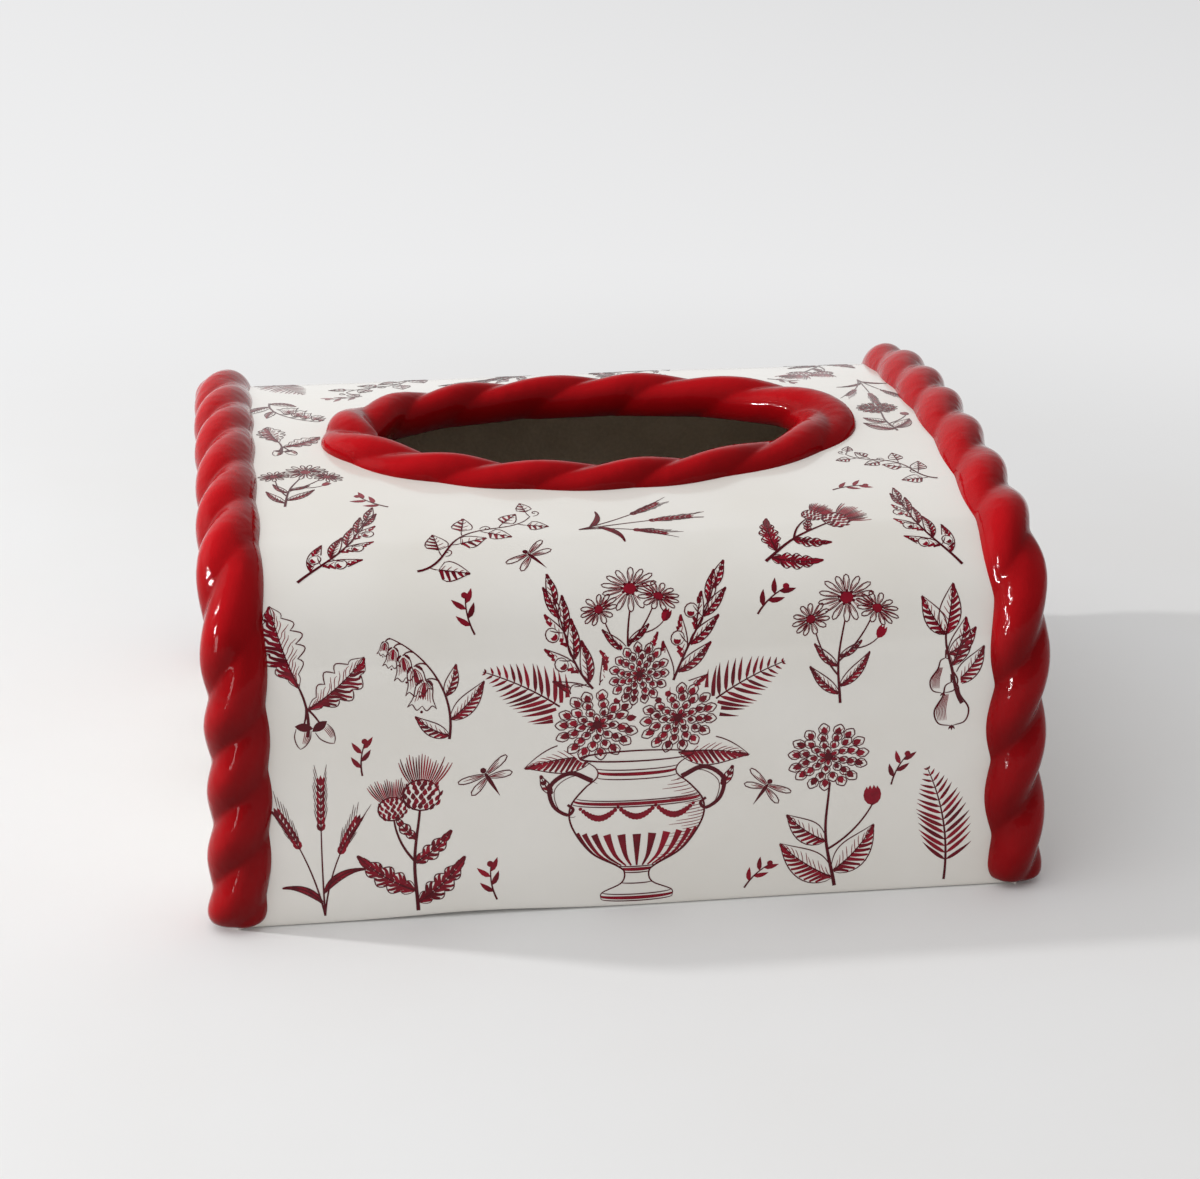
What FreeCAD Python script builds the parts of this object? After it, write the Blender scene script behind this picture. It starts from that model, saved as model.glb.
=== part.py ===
import FreeCAD, Part
import math
import os
import Sketcher

# Glazed ceramic tissue box cover. A barrel vault stands on its two long edges and is closed by
# two end walls let into rebates. Twisted clay ropes cover the two arched corners, and a third
# rope lies round the oval mouth in the crown. The underside is open.
# X runs along the vault, the front faces -Y, Z is up and the table is at Z = 0.

doc = FreeCAD.newDocument("tissue_box_cover")

# Driving sizes in millimetres, with one count at the end
sheet = doc.addObject("Spreadsheet::Sheet", "sizes")
DRIVING_SIZES = (
    ("body_length", 231.0, "over the outer faces of the two end walls"),
    ("body_depth", 206.0, "over the front and back walls of the vault"),
    ("crown_height", 113.0, "table to the top of the vault"),
    ("shoulder_radius", 33.0, "outer bend between a long wall and the crown"),
    ("crown_radius", 463.0, "outer arch of the crown"),
    ("shell_wall", 6.0, "thickness of the vault"),
    ("end_wall", 6.0, "thickness of an end wall"),
    ("rebate_depth", 3.0, "how far an end wall is let into the vault"),
    ("slip_gap", 0.2, "room for the slip that joins two pieces"),
    ("mouth_length", 144.0, "oval mouth along the vault"),
    ("mouth_width", 75.0, "oval mouth across the vault"),
    ("strand_radius", 6.9, "one strand of a corner rope"),
    ("strand_offset", 2.8, "centre of a strand from the centre of its rope"),
    ("left_rope_lay", 43.5, "length in which the left corner rope makes a full turn"),
    ("right_rope_lay", 48.5, "length in which the right corner rope makes a full turn"),
    ("rope_inset", 2.9, "corner rope's centre line inside both faces that it covers"),
    ("rope_foot_gap", 2.0, "end of a corner rope above the table"),
    ("rope_end_round", 6.0, "length over which a corner rope's end is rounded"),
    ("rim_strand_radius", 5.1, "one strand of the rope round the mouth"),
    ("rim_strand_offset", 1.6, "centre of a strand from the centre of its rope"),
    ("rim_sink", 0.3, "rim rope's centre line below the outer face of the vault"),
    ("rim_setback", 4.7, "rim rope's centre line outside the edge of the mouth"),
    ("rim_lobes", 13, "strand crossings counted once round the mouth"),
)
for row, (alias, value, meaning) in enumerate(DRIVING_SIZES, start=1):
    sheet.set(f"A{row}", alias)
    sheet.set(f"B{row}", str(value))
    sheet.set(f"C{row}", meaning)
    sheet.setAlias(f"B{row}", alias)
doc.recompute()


def size(alias):
    """Value of a driving size, read from the sheet."""
    return float(sheet.get(alias))


def shoulder_height():
    """Height of the shoulder's centre, where the upright wall ends and the bend begins."""
    to_shoulder = size("crown_radius") - size("shoulder_radius")
    across = size("body_depth") / 2 - size("shoulder_radius")
    return size("crown_height") - size("crown_radius") + math.sqrt(to_shoulder ** 2 - across ** 2)


def shoulder_sweep():
    """Angle of the shoulder bend, from the upright wall to the start of the crown."""
    across = size("body_depth") / 2 - size("shoulder_radius")
    return math.acos(across / (size("crown_radius") - size("shoulder_radius")))


# How a sketch numbers its axes and the points of a line or an arc
X_AXIS, Y_AXIS = range(-1, -3, -1)
START, END, CENTRE = range(1, 4)


def own_plane(body, role):
    """Origin plane of a body, found by its role."""
    return next(feature for feature in body.Origin.OriginFeatures if feature.Role == role)


def arch_sketch(body, name, inset, station="0"):
    """Closed arch parallel to the vault's outer face, inset by an expression, at a station along X."""
    margin = float(sheet.evalExpression(inset))
    half = size("body_depth") / 2 - margin
    bend = size("shoulder_radius") - margin
    rise = size("crown_radius") - margin
    spring = shoulder_height()
    sweep = shoulder_sweep()
    drop = size("crown_radius") - size("crown_height")

    sketch = body.newObject("Sketcher::SketchObject", name)
    sketch.AttachmentSupport = [(own_plane(body, "YZ_Plane"), "")]
    sketch.MapMode = "FlatFace"
    sketch.setExpression("AttachmentOffset.Base.z", station)

    def arc(across, up, radius, start, end):
        circle = Part.Circle(FreeCAD.Vector(across, up, 0), FreeCAD.Vector(0, 0, 1), radius)
        return Part.ArcOfCircle(circle, start, end)

    def line(start, end):
        return Part.LineSegment(FreeCAD.Vector(*start, 0), FreeCAD.Vector(*end, 0))

    floor = sketch.addGeometry(line((half, 0), (-half, 0)))
    front = sketch.addGeometry(line((-half, 0), (-half, spring)))
    front_bend = sketch.addGeometry(arc(bend - half, spring, bend, math.pi - sweep, math.pi))
    crown = sketch.addGeometry(arc(0, -drop, rise, sweep, math.pi - sweep))
    back_bend = sketch.addGeometry(arc(half - bend, spring, bend, 0, sweep))
    back = sketch.addGeometry(line((half, spring), (half, 0)))

    joins = (
        Sketcher.Constraint("Coincident", floor, END, front, START),
        Sketcher.Constraint("Tangent", front, END, front_bend, END),
        Sketcher.Constraint("Tangent", front_bend, START, crown, END),
        Sketcher.Constraint("Tangent", crown, START, back_bend, END),
        Sketcher.Constraint("Tangent", back_bend, START, back, START),
        Sketcher.Constraint("Coincident", back, END, floor, START),
        Sketcher.Constraint("Horizontal", floor),
        Sketcher.Constraint("Vertical", front),
        Sketcher.Constraint("Vertical", back),
        Sketcher.Constraint("PointOnObject", floor, START, X_AXIS),
        Sketcher.Constraint("PointOnObject", crown, CENTRE, Y_AXIS),
        Sketcher.Constraint("Equal", front_bend, back_bend),
    )
    for join in joins:
        sketch.addConstraint(join)
    driven = (
        ("half_depth", Sketcher.Constraint("DistanceX", front, START, X_AXIS, START, half),
         f"sizes.body_depth / 2 - ({inset})"),
        ("bend_radius", Sketcher.Constraint("Radius", front_bend, bend),
         f"sizes.shoulder_radius - ({inset})"),
        ("crown_radius", Sketcher.Constraint("Radius", crown, rise),
         f"sizes.crown_radius - ({inset})"),
        ("crown_drop", Sketcher.Constraint("DistanceY", crown, CENTRE, X_AXIS, START, drop),
         "sizes.crown_radius - sizes.crown_height"),
    )
    for label, constraint, expression in driven:
        index = sketch.addConstraint(constraint)
        sketch.renameConstraint(index, label)
        sketch.setExpression(f"Constraints.{label}", expression)
    return sketch


def pad(body, name, sketch, length, side="One side"):
    """Add material from a sketch, by a length given as an expression."""
    feature = body.newObject("PartDesign::Pad", name)
    feature.Profile = sketch
    feature.SideType = side
    feature.setExpression("Length", length)
    return feature


def pocket(body, name, sketch, length, side="One side", along_normal=False):
    """Cut material away from a sketch, by a length given as an expression."""
    feature = body.newObject("PartDesign::Pocket", name)
    feature.Profile = sketch
    feature.SideType = side
    feature.Reversed = along_normal
    feature.setExpression("Length", length)
    return feature


# Vault: one slab bent over a former, with a rebate inside each end and an oval mouth in the crown
vault = doc.addObject("PartDesign::Body", "vault_shell")
vault.Label = "vault_shell"
vault_outline = arch_sketch(vault, "vault_outline", "0")
pad(vault, "vault_block", vault_outline, "sizes.body_length", side="Symmetric")
hollow_outline = arch_sketch(vault, "hollow_outline", "sizes.shell_wall")
pocket(vault, "hollow", hollow_outline, "sizes.body_length", side="Symmetric")
REBATE_INSET = "sizes.shell_wall - sizes.rebate_depth"
left_rebate = arch_sketch(vault, "left_rebate_outline", REBATE_INSET, "-sizes.body_length / 2")
pocket(vault, "left_rebate", left_rebate, "sizes.end_wall", along_normal=True)
right_rebate = arch_sketch(vault, "right_rebate_outline", REBATE_INSET, "sizes.body_length / 2")
pocket(vault, "right_rebate", right_rebate, "sizes.end_wall")

mouth = vault.newObject("Sketcher::SketchObject", "mouth_outline")
mouth.AttachmentSupport = [(own_plane(vault, "XY_Plane"), "")]
mouth.MapMode = "FlatFace"
half_mouth_length = size("mouth_length") / 2
half_mouth_width = size("mouth_width") / 2
oval = mouth.addGeometry(Part.Ellipse(FreeCAD.Vector(0, 0, 0), half_mouth_length, half_mouth_width))
mouth.exposeInternalGeometry(oval)
LONG_AXIS, SHORT_AXIS = oval + 1, oval + 2
mouth.addConstraint(Sketcher.Constraint("Coincident", oval, CENTRE, X_AXIS, START))
mouth.addConstraint(Sketcher.Constraint("Horizontal", LONG_AXIS))
for label, axis, span in (("length", LONG_AXIS, "mouth_length"), ("width", SHORT_AXIS, "mouth_width")):
    index = mouth.addConstraint(Sketcher.Constraint("Distance", axis, START, axis, END, size(span)))
    mouth.renameConstraint(index, label)
    mouth.setExpression(f"Constraints.{label}", f"sizes.{span}")
pocket(vault, "mouth", mouth, "sizes.crown_height", along_normal=True)

# End walls: flat slabs that drop into the rebates, flush with the ends of the vault
WALL_INSET = f"{REBATE_INSET} + sizes.slip_gap"
end_walls = []
for side, station in (("left", "-sizes.body_length / 2"),
                      ("right", "sizes.body_length / 2 - sizes.end_wall + sizes.slip_gap")):
    wall = doc.addObject("PartDesign::Body", f"{side}_end_wall")
    wall.Label = f"{side}_end_wall"
    outline = arch_sketch(wall, f"{side}_wall_outline", WALL_INSET, station)
    pad(wall, f"{side}_wall_slab", outline, "sizes.end_wall - sizes.slip_gap")
    end_walls.append(wall)

# Twisted ropes: two round strands side by side, turning about the rope's centre line
CREASE_SHARE = 0.2
SEAT_LOBE_SHARE = 0.35
END_SHARE = 0.75
SKIN_POINTS = 17
SECTIONS_PER_LOBE = 10
BISECTIONS = 48


def strand_reach(angle, radius, offset):
    """Distance from a rope's centre to its skin at an angle from the line through both strands."""
    along = math.hypot(math.cos(angle), CREASE_SHARE)
    across = offset * math.sin(angle)
    return offset * along + math.sqrt(radius ** 2 - across ** 2)


def rope_reach(angle, twist, middle, span, radius, offset):
    """The same on a rope pressed to its seats: lobes are full at a middle angle and fade over a span."""
    envelope = strand_reach(0, radius, offset)
    lobed = strand_reach(angle - twist, radius, offset)
    swell = math.cos(math.pi / 2 * (angle - middle) / span) ** 2
    fade = SEAT_LOBE_SHARE + (1 - SEAT_LOBE_SHARE) * swell
    return envelope - (envelope - lobed) * fade


def seat_angle(reach, facing, near, far, level):
    """Angle between near and far at which the skin, measured along a facing angle, sinks to a level."""
    for _ in range(BISECTIONS):
        middle = (near + far) / 2
        if reach(middle) * math.cos(middle - facing) > level:
            near = middle
        else:
            far = middle
    return (near + far) / 2


def rope_section(centre, outward, sideways, reach, first, last, corner=None):
    """Closed section: a curve through points of the skin, then straight seats back to its start."""
    skin = []
    for index in range(SKIN_POINTS):
        angle = first + (last - first) * index / (SKIN_POINTS - 1)
        direction = outward * math.cos(angle) + sideways * math.sin(angle)
        skin.append(centre + direction * reach(angle))
    curve = Part.BSplineCurve()
    curve.interpolate(skin)
    seats = [skin[-1], skin[0]] if corner is None else [skin[-1], corner, skin[0]]
    edges = [curve.toShape()]
    edges += [Part.makeLine(start, end) for start, end in zip(seats, seats[1:])]
    return edges


def rope_solid(sections, closed):
    """Solid whose skin is ruled from each section to the next, capped unless it closes on itself."""
    following = sections[1:] + sections[:1] if closed else sections[1:]
    faces = []
    for section, neighbour in zip(sections, following):
        faces += [Part.makeRuledSurface(edge, other) for edge, other in zip(section, neighbour)]
    if not closed:
        faces += [Part.Face(Part.Wire(section)) for section in (sections[0], sections[-1])]
    shell = Part.makeShell(faces)
    shell.sewShape()
    solid = Part.makeSolid(shell)
    if solid.Volume < 0:
        solid.reverse()
    return solid


def corner_path(distance):
    """Point and outward direction on a corner rope's centre line, by distance from the front foot."""
    inset = size("rope_inset")
    half = size("body_depth") / 2
    bend = size("shoulder_radius")
    leg = shoulder_height() - size("rope_foot_gap")
    sweep = shoulder_sweep()
    bend_run = (bend - inset) * sweep
    crown_run = (size("crown_radius") - inset) * (math.pi / 2 - sweep)
    half_run = leg + bend_run + crown_run
    from_foot = min(distance, 2 * half_run - distance)
    side = -1 if distance <= half_run else 1
    if from_foot <= leg:
        turn = 0.0
        across, up = half - inset, size("rope_foot_gap") + from_foot
    elif from_foot <= leg + bend_run:
        turn = (from_foot - leg) / (bend - inset)
        across = half - bend + (bend - inset) * math.cos(turn)
        up = shoulder_height() + (bend - inset) * math.sin(turn)
    else:
        turn = sweep + (from_foot - leg - bend_run) / (size("crown_radius") - inset)
        across = (size("crown_radius") - inset) * math.cos(turn)
        up = size("crown_height") - size("crown_radius") + (size("crown_radius") - inset) * math.sin(turn)
    point = FreeCAD.Vector(0, side * across, up)
    outward = FreeCAD.Vector(0, side * math.cos(turn), math.sin(turn))
    return point, outward, 2 * half_run


CORNER_SPAN = math.radians(115)


def corner_rope(side, lay, phase):
    """Rope over the arched corner at one end, notched to sit on the vault and on the end wall."""
    radius, offset = size("strand_radius"), size("strand_offset")
    seat = size("rope_inset") + size("slip_gap")
    run = corner_path(0)[2]
    spans = math.ceil(2 * run / lay * SECTIONS_PER_LOBE)
    end_face = FreeCAD.Vector(side, 0, 0)
    centre_x = side * (size("body_length") / 2 - size("rope_inset"))
    sections = []
    for index in range(spans + 1):
        distance = run * index / spans
        point, outward, _ = corner_path(distance)
        centre = FreeCAD.Vector(centre_x, point.y, point.z)
        from_end = max(0.0, min(distance, run - distance, size("rope_end_round")))
        rounding = math.sqrt(1 - (1 - from_end / size("rope_end_round")) ** 2)
        girth = END_SHARE + (1 - END_SHARE) * rounding
        twist = side * (phase + 2 * math.pi * distance / lay)

        def reach(angle):
            return girth * rope_reach(angle, twist, math.pi / 4, CORNER_SPAN, radius, offset)

        on_vault = seat_angle(reach, 0, -math.pi / 4, -math.pi / 2, seat)
        on_wall = seat_angle(reach, math.pi / 2, 3 * math.pi / 4, math.pi, seat)
        corner = centre + (outward + end_face) * seat
        sections.append(rope_section(centre, outward, end_face, reach, on_vault, on_wall, corner))
    return rope_solid(sections, closed=False)


def mouth_path(angle):
    """Point, outward direction and sideways direction on the rim rope's oval, over the crown."""
    half_length = size("mouth_length") / 2 + size("rim_setback")
    half_width = size("mouth_width") / 2 + size("rim_setback")
    radius = size("crown_radius")
    across = half_width * math.sin(angle)
    up = math.sqrt(radius ** 2 - across ** 2)
    point = FreeCAD.Vector(half_length * math.cos(angle), across, up + size("crown_height") - radius)
    outward = FreeCAD.Vector(0, across / radius, up / radius)
    rate = half_width * math.cos(angle)
    tangent = FreeCAD.Vector(-half_length * math.sin(angle), rate, -across * rate / up)
    return point, outward, tangent.cross(outward).normalize()


def even_angles(count, samples_per_step=40):
    """Angles that divide the rim rope's oval into equal lengths."""
    total = count * samples_per_step
    points = [mouth_path(2 * math.pi * index / total)[0] for index in range(total + 1)]
    run = [0.0]
    for start, end in zip(points, points[1:]):
        run.append(run[-1] + start.distanceToPoint(end))
    angles, index = [], 0
    for step in range(count):
        goal = run[-1] * step / count
        while run[index + 1] < goal:
            index += 1
        part = (goal - run[index]) / (run[index + 1] - run[index])
        angles.append(2 * math.pi * (index + part) / total)
    return angles


RIM_SPAN = math.radians(80)


def rim_rope(phase):
    """Rope round the mouth, twisted the other way and flat underneath where it lies on the crown."""
    radius, offset = size("rim_strand_radius"), size("rim_strand_offset")
    seat = size("rim_sink") + size("slip_gap")
    lobes = int(size("rim_lobes"))
    count = lobes * SECTIONS_PER_LOBE
    sections = []
    for index, angle in enumerate(even_angles(count)):
        point, outward, sideways = mouth_path(angle)
        centre = point - outward * size("rim_sink")
        twist = phase - math.pi * lobes * index / count

        def reach(turn):
            return rope_reach(turn, twist, 0, RIM_SPAN, radius, offset)

        inner = seat_angle(reach, 0, -math.pi / 4, -math.pi / 2, seat)
        outer = seat_angle(reach, 0, math.pi / 4, math.pi / 2, seat)
        sections.append(rope_section(centre, outward, sideways, reach, inner, outer))
    return rope_solid(sections, closed=True)


def rope_piece(label, shape):
    """Document object that holds a rope's solid."""
    piece = doc.addObject("Part::Feature", label)
    piece.Label = label
    piece.Shape = shape
    piece.Placement = FreeCAD.Placement()
    return piece


LEFT_PHASE = math.radians(67)
RIGHT_PHASE = math.radians(97)
RIM_PHASE = math.radians(57)
ropes = [
    rope_piece("left_rope_trim", corner_rope(-1, size("left_rope_lay"), LEFT_PHASE)),
    rope_piece("right_rope_trim", corner_rope(1, size("right_rope_lay"), RIGHT_PHASE)),
    rope_piece("opening_rope_rim", rim_rope(RIM_PHASE)),
]

# Check every object and piece, then write one file for each piece
doc.recompute()
for item in doc.Objects:
    if "Invalid" in item.State or "Error" in item.State:
        raise RuntimeError(f"{item.Label} did not build: {item.State}")
pieces = [vault, *end_walls, *ropes]
for piece in pieces:
    if piece.Shape.isNull() or not piece.Shape.isValid():
        raise RuntimeError(f"{piece.Label} has no valid shape")
    if len(piece.Shape.Solids) != 1:
        raise RuntimeError(f"{piece.Label} is not one solid")
os.makedirs("parts", exist_ok=True)
for piece in pieces:
    piece.Shape.exportStep(f"parts/{piece.Label}.step")
    box = piece.Shape.BoundBox
    print(piece.Label, round(piece.Shape.Volume), "mm3", box)
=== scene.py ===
import math

import bpy
import numpy as np
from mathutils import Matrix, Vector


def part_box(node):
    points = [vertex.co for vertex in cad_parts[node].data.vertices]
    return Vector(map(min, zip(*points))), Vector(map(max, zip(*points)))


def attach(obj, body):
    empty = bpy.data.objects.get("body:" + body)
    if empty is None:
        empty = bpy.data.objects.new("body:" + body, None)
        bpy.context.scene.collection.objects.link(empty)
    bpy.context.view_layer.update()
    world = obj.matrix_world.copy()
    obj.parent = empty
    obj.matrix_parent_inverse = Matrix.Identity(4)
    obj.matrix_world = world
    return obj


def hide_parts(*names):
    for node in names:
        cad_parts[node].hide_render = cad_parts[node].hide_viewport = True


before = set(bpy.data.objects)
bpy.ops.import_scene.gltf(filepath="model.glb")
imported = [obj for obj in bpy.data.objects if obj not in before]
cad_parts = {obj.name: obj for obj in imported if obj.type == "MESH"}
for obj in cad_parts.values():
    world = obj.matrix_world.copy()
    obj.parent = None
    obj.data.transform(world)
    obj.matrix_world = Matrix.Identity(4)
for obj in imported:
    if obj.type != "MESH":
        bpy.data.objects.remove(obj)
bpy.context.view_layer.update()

# Vault
# The body of the cover is one slab of buff clay bent over a former: two upright long walls, round
# shoulders and a low crown with an oval mouth cut through it. It is dipped in a glossy off-white
# glaze outside and stays bare inside. Sizes are in millimetres.
MM = 0.001
vault_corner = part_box("vault_shell")[1] / MM
HALF_LENGTH, HALF_DEPTH, CROWN_HEIGHT = vault_corner
SHOULDER_RADIUS = 33.0
CROWN_RADIUS = 463.0
WALL = 6.0
REBATE_DEPTH = 3.0
REBATE_LENGTH = 6.0
MOUTH_HALF_LENGTH = 72.0
MOUTH_HALF_WIDTH = 37.5
FOOT_ROUND = 1.6
LIP_ROUND = 1.0
END_ROUND = 0.6
SHARP_ANGLE = math.radians(50)
FOOT_BOW_RISE, FOOT_BOW_PLACE, FOOT_BOW_REACH = 1.1, -46.0, 26.0
VAULT_WAVES = ((0.16, 37.0, 61.0, 0.6), (0.11, 23.0, -34.0, 2.1), (0.06, 11.0, 17.0, 0.0))

shoulder_place = HALF_DEPTH - SHOULDER_RADIUS
crown_to_shoulder = CROWN_RADIUS - SHOULDER_RADIUS
CROWN_TURN = math.asin(shoulder_place / crown_to_shoulder)
SHOULDER_TURN = math.pi / 2 - CROWN_TURN
WALL_RUN = CROWN_HEIGHT - CROWN_RADIUS + crown_to_shoulder * math.cos(CROWN_TURN)


def arch_run(inset=0.0):
    """Run of half an arch parallel to the outer face: crown, shoulder and upright wall, added up."""
    crown = (CROWN_RADIUS - inset) * CROWN_TURN
    shoulder = (SHOULDER_RADIUS - inset) * SHOULDER_TURN
    return crown, shoulder, crown + shoulder + WALL_RUN


def arch(run, inset=0.0):
    """Place across and up, and outward direction, on an arch at a run from the crown line.

    The direction turns evenly with the run, slowly over the crown and quickly over the shoulder,
    and stays level on the wall. The place adds up both arcs and the straight wall.
    """
    crown_run, shoulder_run, _ = arch_run(inset)
    crown_radius, shoulder_radius = CROWN_RADIUS - inset, SHOULDER_RADIUS - inset
    side, away = np.sign(run), np.abs(run)
    crown_turn = np.minimum(away, crown_run) / crown_radius
    turn = crown_turn + np.clip(away - crown_run, 0, shoulder_run) / shoulder_radius
    down_wall = np.maximum(away - crown_run - shoulder_run, 0)
    across = crown_radius * np.sin(crown_turn) + shoulder_radius * (np.sin(turn) - np.sin(crown_turn))
    drop = inset + crown_radius * (1 - np.cos(crown_turn))
    drop = drop + shoulder_radius * (np.cos(crown_turn) - np.cos(turn)) + down_wall
    return side * across, CROWN_HEIGHT - drop, side * np.sin(turn), np.cos(turn)


def unevenness(waves, along, across):
    """Handmade unevenness of a slab: long waves, each with a height, two pitches and a phase, added up."""
    return sum(height * np.sin(along / pitch + across / cross_pitch + phase)
               for height, pitch, cross_pitch, phase in waves)


def vault_point(x, run, lift):
    """Point at a place along the vault and round its arch, lifted off the uneven outer face."""
    across, up, out_y, out_z = arch(run)
    lift = lift + unevenness(VAULT_WAVES, x, run)
    return np.stack([x + 0 * run, across + lift * out_y, up + lift * out_z], axis=-1)


def write_mesh(name, points, faces, finishes, face_finish=None):
    """Piece at the origin from points in millimetres and lists of equal-sided faces, turned outwards.

    The volumes between the origin and the triangles of all faces add up to less than nothing where
    the faces point inwards, and then each face is reversed.
    """
    flat = points.reshape(-1, 3) * MM
    fans = [face[:, [0, corner, corner + 1]] for face in faces for corner in range(1, face.shape[1] - 1)]
    corners = flat[np.concatenate(fans)]
    volume = np.einsum("ij,ij->i", corners[:, 0], np.cross(corners[:, 1], corners[:, 2])).sum()
    if volume < 0:
        faces = [face[:, ::-1] for face in faces]
    loops = np.concatenate([face.ravel() for face in faces])
    totals = np.concatenate([np.full(len(face), face.shape[1]) for face in faces])
    mesh = bpy.data.meshes.new(name)
    mesh.vertices.add(len(flat))
    mesh.vertices.foreach_set("co", flat.ravel())
    mesh.loops.add(len(loops))
    mesh.loops.foreach_set("vertex_index", loops)
    mesh.polygons.add(len(totals))
    mesh.polygons.foreach_set("loop_start", np.cumsum(totals) - totals)
    for finish in finishes:
        mesh.materials.append(finish)
    if face_finish is not None:
        mesh.polygons.foreach_set("material_index", face_finish)
    mesh.update(calc_edges=True)
    mesh.validate()
    mesh.shade_smooth()
    mesh.set_sharp_from_angle(angle=SHARP_ANGLE)
    piece = bpy.data.objects.new(name, mesh)
    bpy.context.scene.collection.objects.link(piece)
    return piece


def grid_faces(rows, columns, closed_rows=False, capped=False):
    """Quads between neighbours of a grid whose columns close on themselves, and its two end caps."""
    index = np.arange(rows * columns).reshape(rows, columns)
    index = np.concatenate([index, index[:, :1]], axis=1)
    if closed_rows:
        index = np.concatenate([index, index[:1]])
    quads = np.stack([index[:-1, :-1], index[1:, :-1], index[1:, 1:], index[:-1, 1:]], axis=-1)
    faces = [quads.reshape(-1, 4)]
    if capped:
        faces.append(np.stack([index[0, :-1], index[-1, -2::-1]]))
    return faces


class Socket:
    """Output of a shader node. Arithmetic on it adds Math nodes to its tree."""

    def __init__(self, tree, output):
        self.tree = tree
        self.output = output

    def node(self, kind, settings=None, inputs=None, output=0):
        """Add a node of any kind: its settings first, then a value or a link for each named socket."""
        node = self.tree.nodes.new(kind)
        for name, value in (settings or {}).items():
            setattr(node, name, value)
        for key, value in (inputs or {}).items():
            if isinstance(value, Socket):
                self.tree.links.new(value.output, node.inputs[key])
            else:
                node.inputs[key].default_value = value
        return Socket(self.tree, node.outputs[output])

    def math(self, operation, left, right):
        return self.node("ShaderNodeMath", {"operation": operation}, {0: left, 1: right})

    def __add__(self, other):
        return self.math("ADD", self, other)

    def __sub__(self, other):
        return self.math("SUBTRACT", self, other)

    def __rsub__(self, other):
        return self.math("SUBTRACT", other, self)

    def __mul__(self, other):
        return self.math("MULTIPLY", self, other)

    __radd__ = __add__
    __rmul__ = __mul__

    def noise(self, scale, detail=2.0):
        """Cloudy pattern from 0 to 1 at these coordinates, with a scale in patches per metre."""
        return self.node("ShaderNodeTexNoise", None, {"Vector": self, "Scale": scale, "Detail": detail})

    def ramp(self, low, high):
        """Smooth step of this value from 0 at low to 1 at high."""
        settings = {"interpolation_type": "SMOOTHSTEP"}
        return self.node("ShaderNodeMapRange", settings, {"Value": self, "From Min": low, "From Max": high})

    def blend(self, first, second):
        """Colour that goes from first to second as this value goes from 0 to 1."""
        return self.node("ShaderNodeMix", {"data_type": "RGBA"}, {0: self, 6: first, 7: second}, 2)

    def relief(self, depth):
        """Bump normal from this height, with its full depth in metres."""
        return self.node("ShaderNodeBump", None, {"Height": self, "Distance": depth})

    def part(self, axis):
        """One of the three numbers of this vector."""
        return self.node("ShaderNodeSeparateXYZ", None, {"Vector": self}, axis)


def new_finish(name):
    """Material with its Principled shader alone, and the Object coordinates for its patterns."""
    material = bpy.data.materials.new(name)
    material.use_nodes = True
    tree = material.node_tree
    return material, Socket(tree, tree.nodes.new("ShaderNodeTexCoord").outputs["Object"])


def set_shader(place, inputs):
    """Give the Principled shader its values and links."""
    shader = place.tree.nodes["Principled BSDF"]
    for name, value in inputs.items():
        if isinstance(value, Socket):
            place.tree.links.new(value.output, shader.inputs[name])
        else:
            shader.inputs[name].default_value = value


GLAZE_WHITE = (0.815, 0.790, 0.745, 1.0)
GLAZE_CREAM = (0.775, 0.745, 0.690, 1.0)
GLAZE_RELIEF = 0.00006
white_glaze, vault_place = new_finish("white_glaze")
cloud = vault_place.noise(22.0, 3.0)
glaze_height = vault_place.noise(95.0, 1.0) + 0.25 * vault_place.noise(420.0, 1.0)
set_shader(vault_place, {
    "Base Color": cloud.ramp(0.30, 0.75).blend(GLAZE_WHITE, GLAZE_CREAM),
    "Roughness": 0.10 + 0.07 * vault_place.noise(60.0),
    "Normal": glaze_height.relief(GLAZE_RELIEF),
    "IOR": 1.46,
})

CLAY_BUFF = (0.53, 0.45, 0.345, 1.0)
CLAY_BROWN = (0.41, 0.34, 0.25, 1.0)
CLAY_RELIEF = 0.00025
bare_clay, clay_place = new_finish("bare_clay")
grain = clay_place.noise(900.0, 4.0)
clay_cloud = 0.6 * clay_place.noise(45.0, 4.0) + 0.4 * grain
set_shader(clay_place, {
    "Base Color": clay_cloud.ramp(0.3, 0.7).blend(CLAY_BUFF, CLAY_BROWN),
    "Roughness": 0.72 + 0.2 * grain,
    "Normal": grain.relief(CLAY_RELIEF),
    "IOR": 1.4,
})

LENGTH_STEPS, RUN_STEPS = 77, 131
OUTER_ROWS, INNER_ROWS, LIP_ROWS, EDGE_ROWS = 100, 34, 3, 5
HALF_RUN = arch_run()[2]


def rectangle_loop(half_length, half_run):
    """Points round the developed vault, from the front left corner, with its four corners among them."""
    along = np.linspace(-1, 1, LENGTH_STEPS, endpoint=False)
    up = np.linspace(-1, 1, RUN_STEPS, endpoint=False)
    one_length, one_run = np.ones(LENGTH_STEPS), np.ones(RUN_STEPS)
    x = np.concatenate([along, one_run, -along, -one_run])
    run = np.concatenate([-one_length, up, one_length, -up])
    return x * half_length, run * half_run


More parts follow.
